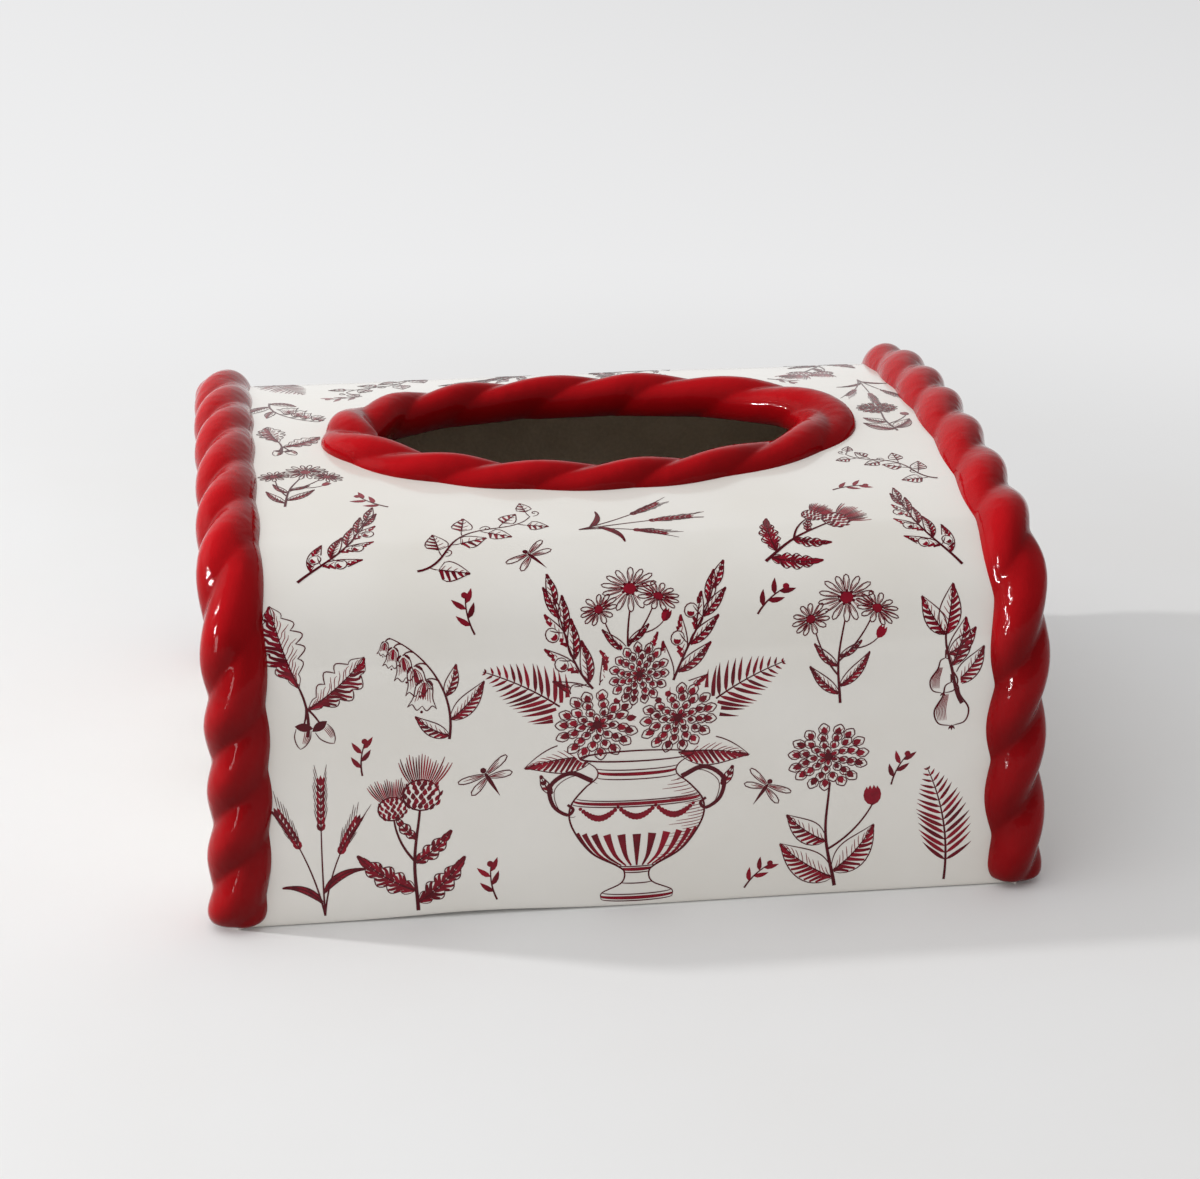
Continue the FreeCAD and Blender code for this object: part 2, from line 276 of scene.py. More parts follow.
def vault_mesh():
    """Closed shell: rays from the mouth to the edge of the developed slab, round it and back inside.

    On the outer face a ray runs straight from the oval to the edge. There it follows a profile of
    outward steps and depths: a round foot along the table, a rebate at the ends. It returns at the
    depth of the wall, and the lip of the mouth closes it.
    """
    edge_x, edge_run = rectangle_loop(HALF_LENGTH, HALF_RUN)
    bow = FOOT_BOW_RISE * np.exp(-((edge_x - FOOT_BOW_PLACE) / FOOT_BOW_REACH) ** 2)
    at_end = np.abs(edge_x) == HALF_LENGTH
    angle = np.arctan2(edge_run / HALF_RUN, edge_x / HALF_LENGTH)
    edge_run = np.where((edge_run == -HALF_RUN) & ~at_end, edge_run + bow, edge_run)
    mouth_x = MOUTH_HALF_LENGTH * np.cos(angle)
    mouth_run = CROWN_RADIUS * np.arcsin(MOUTH_HALF_WIDTH * np.sin(angle) / CROWN_RADIUS)
    out_x = np.where(at_end, np.sign(edge_x), 0)
    out_run = np.where(at_end, 0, np.sign(edge_run))

    arc = np.linspace(0, math.pi / 2, EDGE_ROWS)
    foot_out = np.concatenate([FOOT_ROUND * (np.sin(arc) - 1), LIP_ROUND * (np.cos(arc) - 1)])
    foot_depth = np.concatenate([FOOT_ROUND * (1 - np.cos(arc)), WALL - LIP_ROUND * (1 - np.sin(arc))])
    steps = np.linspace(REBATE_DEPTH, WALL, EDGE_ROWS - 1)
    end_out = np.concatenate([END_ROUND * (np.sin(arc) - 1), [0.0], 0 * steps - REBATE_LENGTH])
    end_depth = np.concatenate([END_ROUND * (1 - np.cos(arc)), [REBATE_DEPTH], steps])
    step_out = np.where(at_end, end_out[:, None], foot_out[:, None])
    profile_depth = np.where(at_end, end_depth[:, None], foot_depth[:, None])
    inner_share = 1 - REBATE_LENGTH / HALF_LENGTH
    narrowing = np.where(at_end, 1.0, np.where(profile_depth > WALL / 2, inner_share, 1.0))
    profile_x = edge_x * narrowing + step_out * out_x
    profile_run = edge_run + step_out * out_run

    outward = np.linspace(0, 1, OUTER_ROWS, endpoint=False)[:, None]
    inward = np.linspace(1, 0, INNER_ROWS + 1)[1:, None]
    lip = np.linspace(WALL, 0, LIP_ROWS + 1, endpoint=False)[1:, None] + 0 * mouth_x
    x, run = (
        np.concatenate([
            mouth + (profile[0] - mouth) * outward,
            profile,
            mouth + (profile[-1] - mouth) * inward,
            mouth + 0 * lip,
        ])
        for mouth, profile in ((mouth_x, profile_x), (mouth_run, profile_run))
    )
    depth = np.concatenate([0 * outward + 0 * mouth_x, profile_depth, WALL + 0 * inward + 0 * mouth_x, lip])
    glazed = np.arange(len(x)) < OUTER_ROWS + EDGE_ROWS
    bare = np.repeat(~glazed, x.shape[1]).astype(np.int32)
    points = vault_point(x, run, -depth)
    faces = grid_faces(*x.shape, closed_rows=True)
    return write_mesh("vault", points, faces, [white_glaze, bare_clay], bare)


vault = vault_mesh()
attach(vault, "root")
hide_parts("vault_shell")

# End walls
# Each end of the vault is closed by a flat slab of the same clay, cut to the arch, dropped into the
# rebate and fixed with slip. It is glazed with the vault, and the rope covers its curved edge.
END_INSET = 3.2
END_WALL = 5.8
END_COLUMNS, END_ROWS = 120, 40


def end_face(side, across, up, lift):
    """Point on an end wall at a place across and up, lifted off its slightly uneven outer face."""
    waves = ((0.14, 41.0, 29.0, side), (0.08, 19.0, -23.0, 0.0))
    ripple = unevenness(waves, across, up)
    return np.stack([side * (HALF_LENGTH + ripple + lift), across + 0 * up, up + 0 * across], axis=-1)


def end_wall_mesh(name, side):
    """Closed slab: columns from the table up to the arch on the outer face and down again inside."""
    crown_run, shoulder_run, _ = arch_run(END_INSET)
    top_run = np.linspace(-1, 1, END_COLUMNS) * (crown_run + shoulder_run)
    across, top, _, _ = arch(top_run, END_INSET)
    arc = np.linspace(0, math.pi / 2, EDGE_ROWS)
    foot_lift, foot_up = FOOT_ROUND * (np.sin(arc) - 1), FOOT_ROUND * (1 - np.cos(arc))
    share = np.linspace(0, 1, END_ROWS)
    outer_up = FOOT_ROUND + share * (top[:, None] - FOOT_ROUND)
    inner_up = share[::-1] * top[:, None]
    up = np.concatenate([foot_up + 0 * outer_up[:, :1], outer_up[:, 1:], inner_up], axis=1)
    lift = np.concatenate([foot_lift, 0 * share[1:], 0 * share - END_WALL])
    loop = end_face(side, across[:, None], up, lift)
    on_inside = np.arange(loop.shape[1]) >= EDGE_ROWS + END_ROWS - 2
    bare = np.concatenate([np.tile(on_inside, END_COLUMNS - 1), [True, True]]).astype(np.int32)
    faces = grid_faces(*loop.shape[:2], capped=True)
    return write_mesh(name, loop, faces, [white_glaze, bare_clay], bare)


end_slabs = (("left_end_wall", "left_end_slab", -1), ("right_end_wall", "right_end_slab", 1))
for end_name, slab_name, side in end_slabs:
    end_wall = end_wall_mesh(slab_name, side)
    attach(end_wall, "root")
    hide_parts(end_name)

# Corner ropes
# Two clay strands are rolled and twisted into a rope, notched along one edge, and luted with slip
# over each arched corner from foot to foot. They are glazed deep red. The red is painted lighter on
# upward faces and darker on downward ones, as painted light and shade, and darker in the creases,
# partly glaze pooling and partly painted shade.
CREASE_SHARE = 0.10
LEFT_SEAT_SHARES, RIGHT_SEAT_SHARES = (0.28, 0.34), (0.30, 0.68)
END_SHARE = 0.75
STRAND_RADIUS, STRAND_OFFSET = 7.2, 2.35
ROPE_INSET, ROPE_SINK = 2.9, 0.35
ROPE_FOOT_GAP, ROPE_END_ROUND = 2.0, 6.0
FOOT_SPLAY, FOOT_NARROWING, FOOT_STRETCH = 2.6, 0.06, 45.0
LEFT_LAYS, RIGHT_LAYS = (56.0, 39.5), (54.0, 49.5)
LEFT_PHASE, RIGHT_PHASE = math.radians(67), math.radians(97)
CORNER_SPAN = math.radians(108)
SKIN_COLUMNS, SEAT_COLUMNS = 64, 4
ROPE_STEP = 0.8
HALVINGS = 40


def strand_reach(angle, radius, offset):
    """Distance from a rope's centre to its skin at an angle from the line through both strands."""
    along = np.hypot(np.cos(angle), CREASE_SHARE)
    return offset * along + np.sqrt(radius ** 2 - (offset * np.sin(angle)) ** 2)


def rope_reach(angle, twist, middle, span, seat_share, radius, offset):
    """The same on a rope pressed to its seats: lobes are full in the middle and fade over a span."""
    envelope = strand_reach(0.0, radius, offset)
    swell = np.cos(math.pi / 2 * np.clip((angle - middle) / span, -1, 1)) ** 2
    fade = seat_share + (1 - seat_share) * swell
    return envelope - (envelope - strand_reach(angle - twist, radius, offset)) * fade


def seat_angle(reach, rows, facing, limits, level):
    """Angle in each section at which the skin, measured along a facing angle, sinks to a level.

    It lies between two limits, and halving the range between them over and over closes in on it.
    """
    near, far = (np.full((rows, 1), limit) for limit in limits)
    for _ in range(HALVINGS):
        middle = (near + far) / 2
        above = reach(middle) * np.cos(middle - facing) > level
        near, far = np.where(above, middle, near), np.where(above, far, middle)
    return (near + far) / 2


def rolled_by_hand(distance, seed):
    """Small wander of a rope's twist, in radians, and of its girth, as a share, along its length."""
    wander = 0.10 * np.sin(distance / 29 + seed) + 0.06 * np.sin(distance / 12.7 + 2.3 * seed)
    girth = 1 + 0.012 * np.sin(distance / 17.3 + 1.7 * seed) + 0.010 * np.sin(distance / 41 + 0.4 * seed)
    return wander, girth


def mark_lobes(piece, reach, radius, offset, thinnest=1.0):
    """Store a lobe value: 0 in the creases, up to the thinnest on top of the lobes; the red is painted
    darker where it is low, partly glaze pooling and partly painted shade.
    """
    lowest, highest = strand_reach(math.pi / 2, radius, offset), strand_reach(0.0, radius, offset)
    lobe = thinnest * np.clip((reach - lowest) / (highest - lowest), 0, 1)
    piece.data.attributes.new("lobe", "FLOAT", "POINT").data.foreach_set("value", lobe.ravel())


RED_LIT_AND_THIN = (0.50, 0.007, 0.011, 1.0)
RED_SHADED_AND_POOLED = (0.14, 0.001, 0.002, 1.0)
PAINTED_TOP_LIGHT, POOLING_AND_CREASE_SHADE = 0.33, 0.35
RUN_RELIEF = 0.0006
red_glaze, rope_place = new_finish("red_glaze")
on_lobe = rope_place.node("ShaderNodeAttribute", {"attribute_name": "lobe"}, None, 2)
# Painted light and shade: the red is lighter on upward faces and darker on downward ones, and darker where
# the lobe value is low in the creases (partly glaze pooling), with random patches.
upward = rope_place.node("ShaderNodeNewGeometry", None, None, 1).part(2)
pooled_and_shaded = on_lobe + 0.5 * rope_place.noise(130.0, 3.0) - 0.85
painted_light_and_pooling = PAINTED_TOP_LIGHT * upward + POOLING_AND_CREASE_SHADE * pooled_and_shaded
runs = rope_place.noise(70.0, 2.0) + 0.3 * rope_place.noise(300.0, 2.0)
set_shader(rope_place, {
    "Base Color": painted_light_and_pooling.ramp(-0.3, 1.1).blend(RED_SHADED_AND_POOLED, RED_LIT_AND_THIN),
    "Roughness": 0.06 + 0.05 * rope_place.noise(90.0),
    "Normal": runs.relief(RUN_RELIEF),
    "IOR": 1.18,
})


def corner_rope_mesh(name, side, lays, phase, seed, seat_shares):
    """Closed rope along the arch: the lobed skin of each section, then its two seats to the corner.

    The twist adds up full turns over the lay, the length of one turn, which is longer on the crown
    than on the walls. Near its feet the rope gets thinner and leans outwards.
    """
    half_run = arch_run(ROPE_INSET)[2] - ROPE_FOOT_GAP
    rows = math.ceil(2 * half_run / ROPE_STEP)
    run = np.linspace(-half_run, half_run, rows)[:, None]
    distance = run + half_run
    across, up, out_y, out_z = arch(run, ROPE_INSET)
    centre_x = side * (HALF_LENGTH - ROPE_INSET)
    wander, girth = rolled_by_hand(distance, seed)
    crown_run, shoulder_run, _ = arch_run(ROPE_INSET)
    bend = (crown_run, crown_run + shoulder_run)
    lay = np.interp(np.abs(run), bend, lays)
    seat_share = np.interp(np.abs(run), bend, seat_shares)
    turns = np.cumsum(2 * half_run / rows / lay)[:, None]
    near_foot = np.clip(1 - (half_run - np.abs(run)) / FOOT_STRETCH, 0, 1) ** 1.5
    girth = girth * (1 - FOOT_NARROWING * near_foot)
    from_end = np.minimum(half_run - np.abs(run), ROPE_END_ROUND) / ROPE_END_ROUND
    girth = girth * (END_SHARE + (1 - END_SHARE) * np.sqrt(1 - (1 - from_end) ** 2))
    twist = side * (phase + 2 * math.pi * turns + wander)

    def reach(angle):
        fit = (math.pi / 4, CORNER_SPAN, seat_share, STRAND_RADIUS, STRAND_OFFSET)
        return girth * rope_reach(angle, twist, *fit)

    seat = ROPE_INSET - ROPE_SINK
    first = seat_angle(reach, rows, 0.0, (-math.pi / 4, -math.pi / 2), seat)
    last = seat_angle(reach, rows, math.pi / 2, (3 * math.pi / 4, math.pi), seat)
    angle = first + (last - first) * np.linspace(0, 1, SKIN_COLUMNS)
    skin = reach(angle)
    along_out, along_end = skin * np.cos(angle), skin * np.sin(angle) + FOOT_SPLAY * near_foot
    step = np.linspace(0, 1, SEAT_COLUMNS + 1)[1:]
    on_wall = along_out[:, -1:] + (seat - along_out[:, -1:]) * step
    on_vault = along_end[:, :1] + (seat - along_end[:, :1]) * step[:-1][::-1]
    along_out = np.concatenate([along_out, on_wall, 0 * on_vault + seat], axis=1)
    along_end = np.concatenate([along_end, 0 * on_wall + seat, on_vault], axis=1)
    x = centre_x + side * along_end
    points = np.stack([x, across + along_out * out_y, up + along_out * out_z], axis=-1)
    rope = write_mesh(name, points, grid_faces(*x.shape, capped=True), [red_glaze])
    lobe_reach = np.hypot(along_out, along_end - FOOT_SPLAY * near_foot) / girth
    mark_lobes(rope, lobe_reach, STRAND_RADIUS, STRAND_OFFSET)
    return rope


corner_ropes = (
    ("left_rope", "left_rope_trim", -1, LEFT_LAYS, LEFT_PHASE, 1.0, LEFT_SEAT_SHARES),
    ("right_rope", "right_rope_trim", 1, RIGHT_LAYS, RIGHT_PHASE, 4.0, RIGHT_SEAT_SHARES),
)
for rope_name, node, side, lays, phase, seed, seat_shares in corner_ropes:
    rope = corner_rope_mesh(rope_name, side, lays, phase, seed, seat_shares)
    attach(rope, "root")
    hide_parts(node)

# Rim rope
# A third rope of two strands, twisted the other way, is closed to an oval and luted on the crown
# round the mouth, so that no cut edge shows. It has the same red glaze.
RIM_RADIUS, RIM_OFFSET = 4.9, 1.85
RIM_SINK = 0.3
RIM_SETBACK, RIM_END_SETBACK = 4.4, 2.5
RIM_END_SPREAD = 0.38
SKIRT_STRETCH, SKIRT_DEPTH = 1.3, 6.4
RIM_LOBES = 13
RIM_PHASE, RIM_SWAY = math.radians(49), 1.02
RIM_SPAN = math.radians(125)
RIM_SEAT_SHARE = 0.30
RIM_THINNEST = 0.85
RIM_HALF_LENGTH = MOUTH_HALF_LENGTH + RIM_END_SETBACK
RIM_HALF_WIDTH = MOUTH_HALF_WIDTH + RIM_SETBACK
INNER_LIMITS, OUTER_LIMITS = (1.7, 3.05), (math.pi / 4, 1.8)
RIM_ROWS, OVAL_SAMPLES = 480, 4800


def oval_angles():
    """Angles that divide the rim's oval into equal lengths, from its summed length in fine steps."""
    angle = np.linspace(0, 2 * math.pi, OVAL_SAMPLES + 1)
    x = RIM_HALF_LENGTH * np.cos(angle)
    run = RIM_HALF_WIDTH * np.sin(angle)
    length = np.concatenate([[0.0], np.cumsum(np.hypot(np.diff(x), np.diff(run)))])
    return np.interp(np.linspace(0, length[-1], RIM_ROWS, endpoint=False), length, angle)


def rim_mesh():
    """Closed rope on an oval over the crown: lobed skin, flat underside and cut edge of the mouth.

    The skin reaches down inside the mouth, as a skirt, until it meets the cut edge, so that it hides
    that edge. Towards the two ends of the oval the rope spreads sideways.
    """
    angle = oval_angles()
    across = RIM_HALF_WIDTH * np.sin(angle)
    height = np.sqrt(CROWN_RADIUS ** 2 - across ** 2)
    outward = np.stack([0 * across, across, height], axis=-1) / CROWN_RADIUS
    rate = RIM_HALF_WIDTH * np.cos(angle)
    tangent = np.stack([-RIM_HALF_LENGTH * np.sin(angle), rate, -across * rate / height], axis=-1)
    sideways = np.cross(tangent, outward)
    sideways = sideways / np.linalg.norm(sideways, axis=1, keepdims=True)
    up = height + CROWN_HEIGHT - CROWN_RADIUS
    on_crown = np.stack([RIM_HALF_LENGTH * np.cos(angle), across, up], axis=-1)
    centre = (on_crown - RIM_SINK * outward)[:, None]

    turn_share = np.arange(RIM_ROWS)[:, None] / RIM_ROWS
    wander = 0.12 * np.sin(6 * math.pi * turn_share + 0.7) + 0.07 * np.sin(14 * math.pi * turn_share)
    girth = 1 + 0.012 * np.sin(10 * math.pi * turn_share + 1.1) + 0.01 * np.sin(4 * math.pi * turn_share)
    twist = RIM_PHASE - math.pi * RIM_LOBES * turn_share + RIM_SWAY * np.sin(angle)[:, None] + wander

    def reach(turn):
        return girth * rope_reach(turn, twist, 0.0, RIM_SPAN, RIM_SEAT_SHARE, RIM_RADIUS, RIM_OFFSET)

    level = RIM_SINK - ROPE_SINK
    toward_end = np.cos(angle)[:, None] ** 2
    spread = 1 + RIM_END_SPREAD * toward_end ** 2
    edge = ROPE_SINK - RIM_SETBACK + (RIM_SETBACK - RIM_END_SETBACK) * toward_end
    inner = -seat_angle(lambda turn: reach(-turn), RIM_ROWS, math.pi / 2, INNER_LIMITS, -edge / spread)
    outer = seat_angle(reach, RIM_ROWS, 0.0, OUTER_LIMITS, level)
    turn = inner + (outer - inner) * np.linspace(0, 1, SKIN_COLUMNS)
    skin = reach(turn)
    along_out, along_side = skin * np.cos(turn), spread * skin * np.sin(turn)
    along_out = np.where(along_out < 0, np.maximum(SKIRT_STRETCH * along_out, -SKIRT_DEPTH), along_out)
    step = np.linspace(0, 1, SEAT_COLUMNS + 1)[1:]
    under = along_side[:, -1:] + (edge - along_side[:, -1:]) * step
    down = level + (along_out[:, :1] - level) * step[:-1]
    along_out = np.concatenate([along_out, 0 * under + level, down], axis=1)
    along_side = np.concatenate([along_side, under, 0 * down + edge], axis=1)
    points = centre + along_out[..., None] * outward[:, None] + along_side[..., None] * sideways[:, None]
    rim = write_mesh("mouth_rim", points, grid_faces(*along_out.shape, closed_rows=True), [red_glaze])
    lobe_reach = np.concatenate([skin, skin[:, -1:] + 0 * under, skin[:, :1] + 0 * down], axis=1) / girth
    mark_lobes(rim, lobe_reach, RIM_RADIUS, RIM_OFFSET, RIM_THINNEST)
    return rim


rim = rim_mesh()
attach(rim, "root")
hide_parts("opening_rope_rim")

# Printed sprigs
# The white glaze carries a transfer print in crimson ceramic ink: an urn of flowers in front and
# loose sprigs all round, drawn in tapered pen lines with solid and hatched leaves, slid on by hand
# and fired into the glaze. Each stroke is a closed strip of ink that is keeled into the glaze.
LINE_STEP = 1.5
HAIR, FINE, BOLD = 0.24, 0.36, 0.55
SHORTEST_REST = 0.45
DARK, MIDDLE = 0.0, 0.5
hand = np.random.default_rng(20)


def bent(start, heading, length, bend=0.0, sway=0.0):
    """Pen path from a start: its heading turns evenly by a bend and sways to and fro once, in degrees."""
    count = max(4, math.ceil(length / LINE_STEP) + 1)
    share = (np.arange(count - 1) + 0.5) / (count - 1)
    turn = np.radians(heading + bend * share + sway * np.sin(2 * math.pi * share))
    steps = length / (count - 1) * np.stack([np.cos(turn), np.sin(turn)], axis=-1)
    return np.array(start, float) + np.concatenate([[[0.0, 0.0]], np.cumsum(steps, axis=0)])


def smooth(points, per_span=5):
    """Smooth path through points: each span is a cubic whose slopes follow the neighbouring points."""
    points = np.array(points, float)
    slopes = np.gradient(points, axis=0)
    share = np.linspace(0, 1, per_span, endpoint=False)[:, None, None]
    places = points[:-1] * (1 - share) ** 2 * (1 + 2 * share) + points[1:] * share ** 2 * (3 - 2 * share)
    bends = slopes[:-1] * share * (1 - share) ** 2 - slopes[1:] * share ** 2 * (1 - share)
    return np.concatenate([(places + bends).transpose(1, 0, 2).reshape(-1, 2), points[-1:]])


def at_share(path, share):
    """Points at shares of a path's points."""
    places = np.linspace(0, 1, len(path))
    return np.stack([np.interp(share, places, path[:, axis]) for axis in (0, 1)], axis=-1)


def leftward(path):
    """Unit directions to the left of a path."""
    ahead = np.gradient(path, axis=0)
    ahead = ahead / np.maximum(np.linalg.norm(ahead, axis=1, keepdims=True), 1e-6)
    return np.stack([-ahead[:, 1], ahead[:, 0]], axis=-1)


def heading_at(path, share):
    """Heading of a path, in degrees, at a share of its points."""
    left = leftward(path)
    angles = np.unwrap(np.arctan2(-left[:, 0], left[:, 1]))
    return math.degrees(np.interp(share, np.linspace(0, 1, len(path)), angles))


def axes_at(heading):
    """Unit directions along and to the left of a heading in degrees."""
    angle = math.radians(heading)
    return np.array([[math.cos(angle), math.sin(angle)], [-math.sin(angle), math.cos(angle)]])


def pen(path, thick, tone=DARK, layer="line"):
    """Pen stroke: thin where the nib lands and lifts, full in the middle."""
    share = np.linspace(0, 1, len(path))
    return path, thick / 2 * (0.35 + 0.65 * np.sin(math.pi * share) ** 0.7), tone, layer


def hatch(path):
    """Hair-thin shading stroke."""
    return pen(path, HAIR, MIDDLE, "hatch")


def stalk(path, thick, tip):
    """Stalk that thins evenly from its foot to its tip."""
    return path, np.linspace(thick, tip, len(path)) / 2, DARK, "line"


def swelling(share, full_at):
    """Width from 0 over 1 to 0 along a share: a half sine wave drawn aside to be full at a place."""
    return np.sin(math.pi * share ** (math.log(0.5) / math.log(full_at)))


def blade(path, width, tone=None, full_at=0.45):
    """Solid pointed shape along a path."""
    tone = hand.uniform(0.15, 0.65) if tone is None else tone
    half = width / 2 * np.maximum(swelling(np.linspace(0, 1, len(path)), full_at), 0.02) ** 0.85
    return path, half, tone, "fill"


def dot(centre, radius, tone=DARK):
    """Round blob: a short blade whose width follows a circle."""
    share = np.linspace(-0.995, 0.995, 7)
    path = np.array(centre, float) + radius * np.stack([share, 0 * share], axis=-1)
    return path, radius * np.sqrt(1 - share ** 2), tone, "fill"


def circle(centre, radius, flat, count=13):
    """Closed oval path, flattened upwards."""
    turn = np.linspace(0, 2 * math.pi, count)
    return np.array(centre, float) + radius * np.stack([np.cos(turn), flat * np.sin(turn)], axis=-1)


def ribs(spine, half, side, count, solid):
    """Side veins of a leaf: solid wedges with light gaps between them, or short hatch lines."""
    strokes = []
    reach = np.linspace(0, 1, 5)
    pitch = 0.84 / count * np.linalg.norm(np.diff(spine, axis=0), axis=1).sum()
    across = leftward(spine)
    for start in np.linspace(0.04, 0.84, count):
        share = start + 0.15 * reach
        width = np.interp(share, np.linspace(0, 1, len(spine)), half)
        out = reach * (0.93 if solid else hand.uniform(0.45, 0.75))
        path = at_share(spine, share) + side * (width * out)[:, None] * at_share(across, share)
        if solid:
            strokes.append((path, pitch * np.linspace(0.42, 0.20, 5), hand.uniform(0.2, 0.65), "fill"))
        else:
            strokes.append(hatch(path))
    return strokes


def leaf(base, heading, length, width, bend, solid, lobes=0, full_at=0.4):
    """Leaf: a spine, two margins that may be lobed, and each half laid in solid or hatched."""
    spine = bent(base, heading, length, bend)
    half = width / 2 * swelling(np.linspace(0, 1, len(spine)), full_at)
    if lobes:
        share = np.linspace(0, 1, 6 * lobes + 1)
        half = np.interp(share, np.linspace(0, 1, len(spine)), half)
        half = half * (0.60 + 0.40 * np.abs(np.sin(math.pi * lobes * share)))
        spine = at_share(spine, share)
    across = leftward(spine)
    strokes = [stalk(spine, BOLD, HAIR)]
    for side, filled in zip((1, -1), solid):
        strokes.append(pen(spine + side * half[:, None] * across, FINE))
        strokes += ribs(spine, half, side, max(4, round(length / 1.9)), filled)
    return strokes


def leaves(path, places, width_share=0.4, lobe_pitch=None):
    """Leaves at shares of a stem, each with its lean to the left of the stem in degrees and its length."""
    strokes = []
    for share, lean, length in places:
        lobes = max(3, round(length / lobe_pitch)) if lobe_pitch else 0
        solid = (True, True) if lobe_pitch else (lean > 0, lean < 0)
        bend = -0.45 * lean
        base, heading = at_share(path, share), heading_at(path, share) + lean
        strokes += leaf(base, heading, length, width_share * length, bend, solid, lobes)
    return strokes


def petal(base, heading, length, width, hatches=3, tone=None, point=0.0):
    """Petal: an egg-shaped outline out and back, more or less pointed, over a solid heart and hatching."""
    turn = np.linspace(0, 2 * math.pi, max(11, round(2.2 * length / LINE_STEP)))
    out = (1 - np.cos(turn)) / 2
    half = width / 2 * np.sin(turn) * (0.6 + 0.55 * out) * (1 - point * out ** 3)
    ring = np.stack([length * out, half], axis=-1)
    axes = axes_at(heading)
    strokes = [pen(base + ring @ axes, FINE)]
    if tone is not None:
        heart = np.linspace([0.04, 0], [0.72, 0], 6) * length
        strokes.append(blade(base + heart @ axes, 0.50 * width, tone, 0.4))
    for fan in np.linspace(-0.62, 0.62, hatches):
        far = hand.uniform(0.45, 0.8)
        tip = 0.5 * fan * width / length * (0.5 + 0.6 * far)
        strokes.append(hatch(base + np.linspace([0.08, 0.02 * fan], [far, tip], 4) * length @ axes))
    return strokes


def moved(strokes, place, turn, size=1.0, squash=1.0):
    """Strokes flattened upwards, turned by degrees, scaled and put at a place. Pen lines scale less."""
    axes = size * axes_at(turn)
    axes[1] = axes[1] * squash
    pen_size = {"fill": size * math.sqrt(squash), "hatch": math.sqrt(size), "line": math.sqrt(size)}
    return [(path @ axes + np.array(place), half * pen_size[layer], tone, layer)
            for path, half, tone, layer in strokes]


def flipped(strokes):
    """Strokes mirrored left to right."""
    return [(path * (-1, 1), half, tone, layer) for path, half, tone, layer in strokes]


def behind(strokes, place, radius, squash=0.9):
    """Strokes that stop short of a flower in front of them: only their longest run outside it stays."""
    kept = []
    for path, half, tone, layer in strokes:
        off = (path - np.array(place)) / (1, squash)
        inside = np.flatnonzero(np.hypot(off[:, 0], off[:, 1]) < radius)
        ends = np.concatenate([[-1], inside, [len(path)]])
        longest = np.argmax(np.diff(ends))
        run = slice(ends[longest] + 1, ends[longest + 1])
        if run.stop - run.start > max(2, SHORTEST_REST * len(path)):
            kept.append((path[run], half[run], tone, layer))
    return kept


def petal_ring(radius, root, count, width, twist=0.0, tones=None, point=0.0):
    """Petals side by side from a root circle to a radius, with small slips of the hand."""
    strokes = []
    for index in range(count):
        heading = twist + 360 * (index + hand.uniform(-0.12, 0.12)) / count
        length = (radius - root) * hand.uniform(0.93, 1.05)
        tone = None if tones is None else hand.uniform(*tones)
        strokes += petal(root * axes_at(heading)[0], heading, length, width, 2, tone, point)
    return strokes


def daisy(place, radius, petals, turn, squash):
    """Daisy seen aslant: a ring of narrow petals round a domed eye of dots."""
    strokes = petal_ring(radius, 0.26 * radius, petals, 3.2 * radius / petals)
    strokes.append(dot((0, 0), 0.24 * radius, MIDDLE))
    strokes += [dot(bead, 0.06 * radius) for bead in circle((0, 0), 0.27 * radius, 1.0, 10)[:-1]]
    return moved(strokes, place, turn, 1.0, squash)


def dahlia(place, radius, turn=0.0):
    """Dahlia: four rings of pointed petals with solid hearts, closing to a dark middle."""
    rings = ((1.0, 0.66, 15), (0.76, 0.46, 12), (0.52, 0.26, 9), (0.32, 0.08, 6))
    strokes = [dot((0, 0), 0.12 * radius)]
    for ring, (tip, root, count) in enumerate(rings):
        width = math.pi * radius * (tip + root) / count
        strokes += petal_ring(tip * radius, root * radius, count, width, 11 * ring, (0.1, 0.8), 0.7)
    return moved(strokes, place, turn, 1.0, 0.88)


def berry(place, radius):
    """Berry: a ring with a solid crescent on its shaded side."""
    shade = circle(place, 0.52 * radius, 1.1)[7:]
    return [pen(circle(place, radius, 1.12), FINE), blade(shade, 0.8 * radius, None, 0.5)]


def fern(length, bend):
    """Fern frond: a bowed rib with pairs of narrow solid leaflets that shorten to its tip."""
    rib = bent((0, 0), 90 + bend / 2, length, -bend)
    strokes = [stalk(rib, 0.8, HAIR)]
    for share in np.linspace(0.17, 0.98, round(length / 2.6)):
        span = 0.25 * length * math.sin(math.pi * (0.14 + 0.86 * share) ** 0.8) + 0.8
        for side in (1, -1):
            heading = heading_at(rib, share) + side * hand.uniform(54, 62)
            leaflet = bent(at_share(rib, share), heading, span, -side * 14)
            strokes.append(blade(leaflet, 0.06 * span + 0.6, None, 0.35))
    return strokes


def olive_branch(length=42.0, bend=26.0):
    """Olive branch: narrow leaves by turns on a bowed twig, with berries between them."""
    twig = bent((0, 0), 90 + bend / 2, length, -bend, 8)
    strokes = []
    for index, share in enumerate(np.linspace(0.14, 0.98, 9)):
        side = 1 if index % 2 else -1
        strokes += leaves(twig, [(share, side * 44 * (1.15 - share), 15 - 5 * share)], 0.29)
        if index in (1, 2, 4, 6):
            hang = bent(at_share(twig, share), heading_at(twig, share) - side * 75, 4.2, side * 20)
            fruit = hang[-1] + (0, -1.5)
            strokes = behind(strokes, fruit, 1.9, 1.12) + [pen(hang, FINE)] + berry(fruit, 1.9)
    return strokes + [stalk(twig, 0.95, 0.35)]


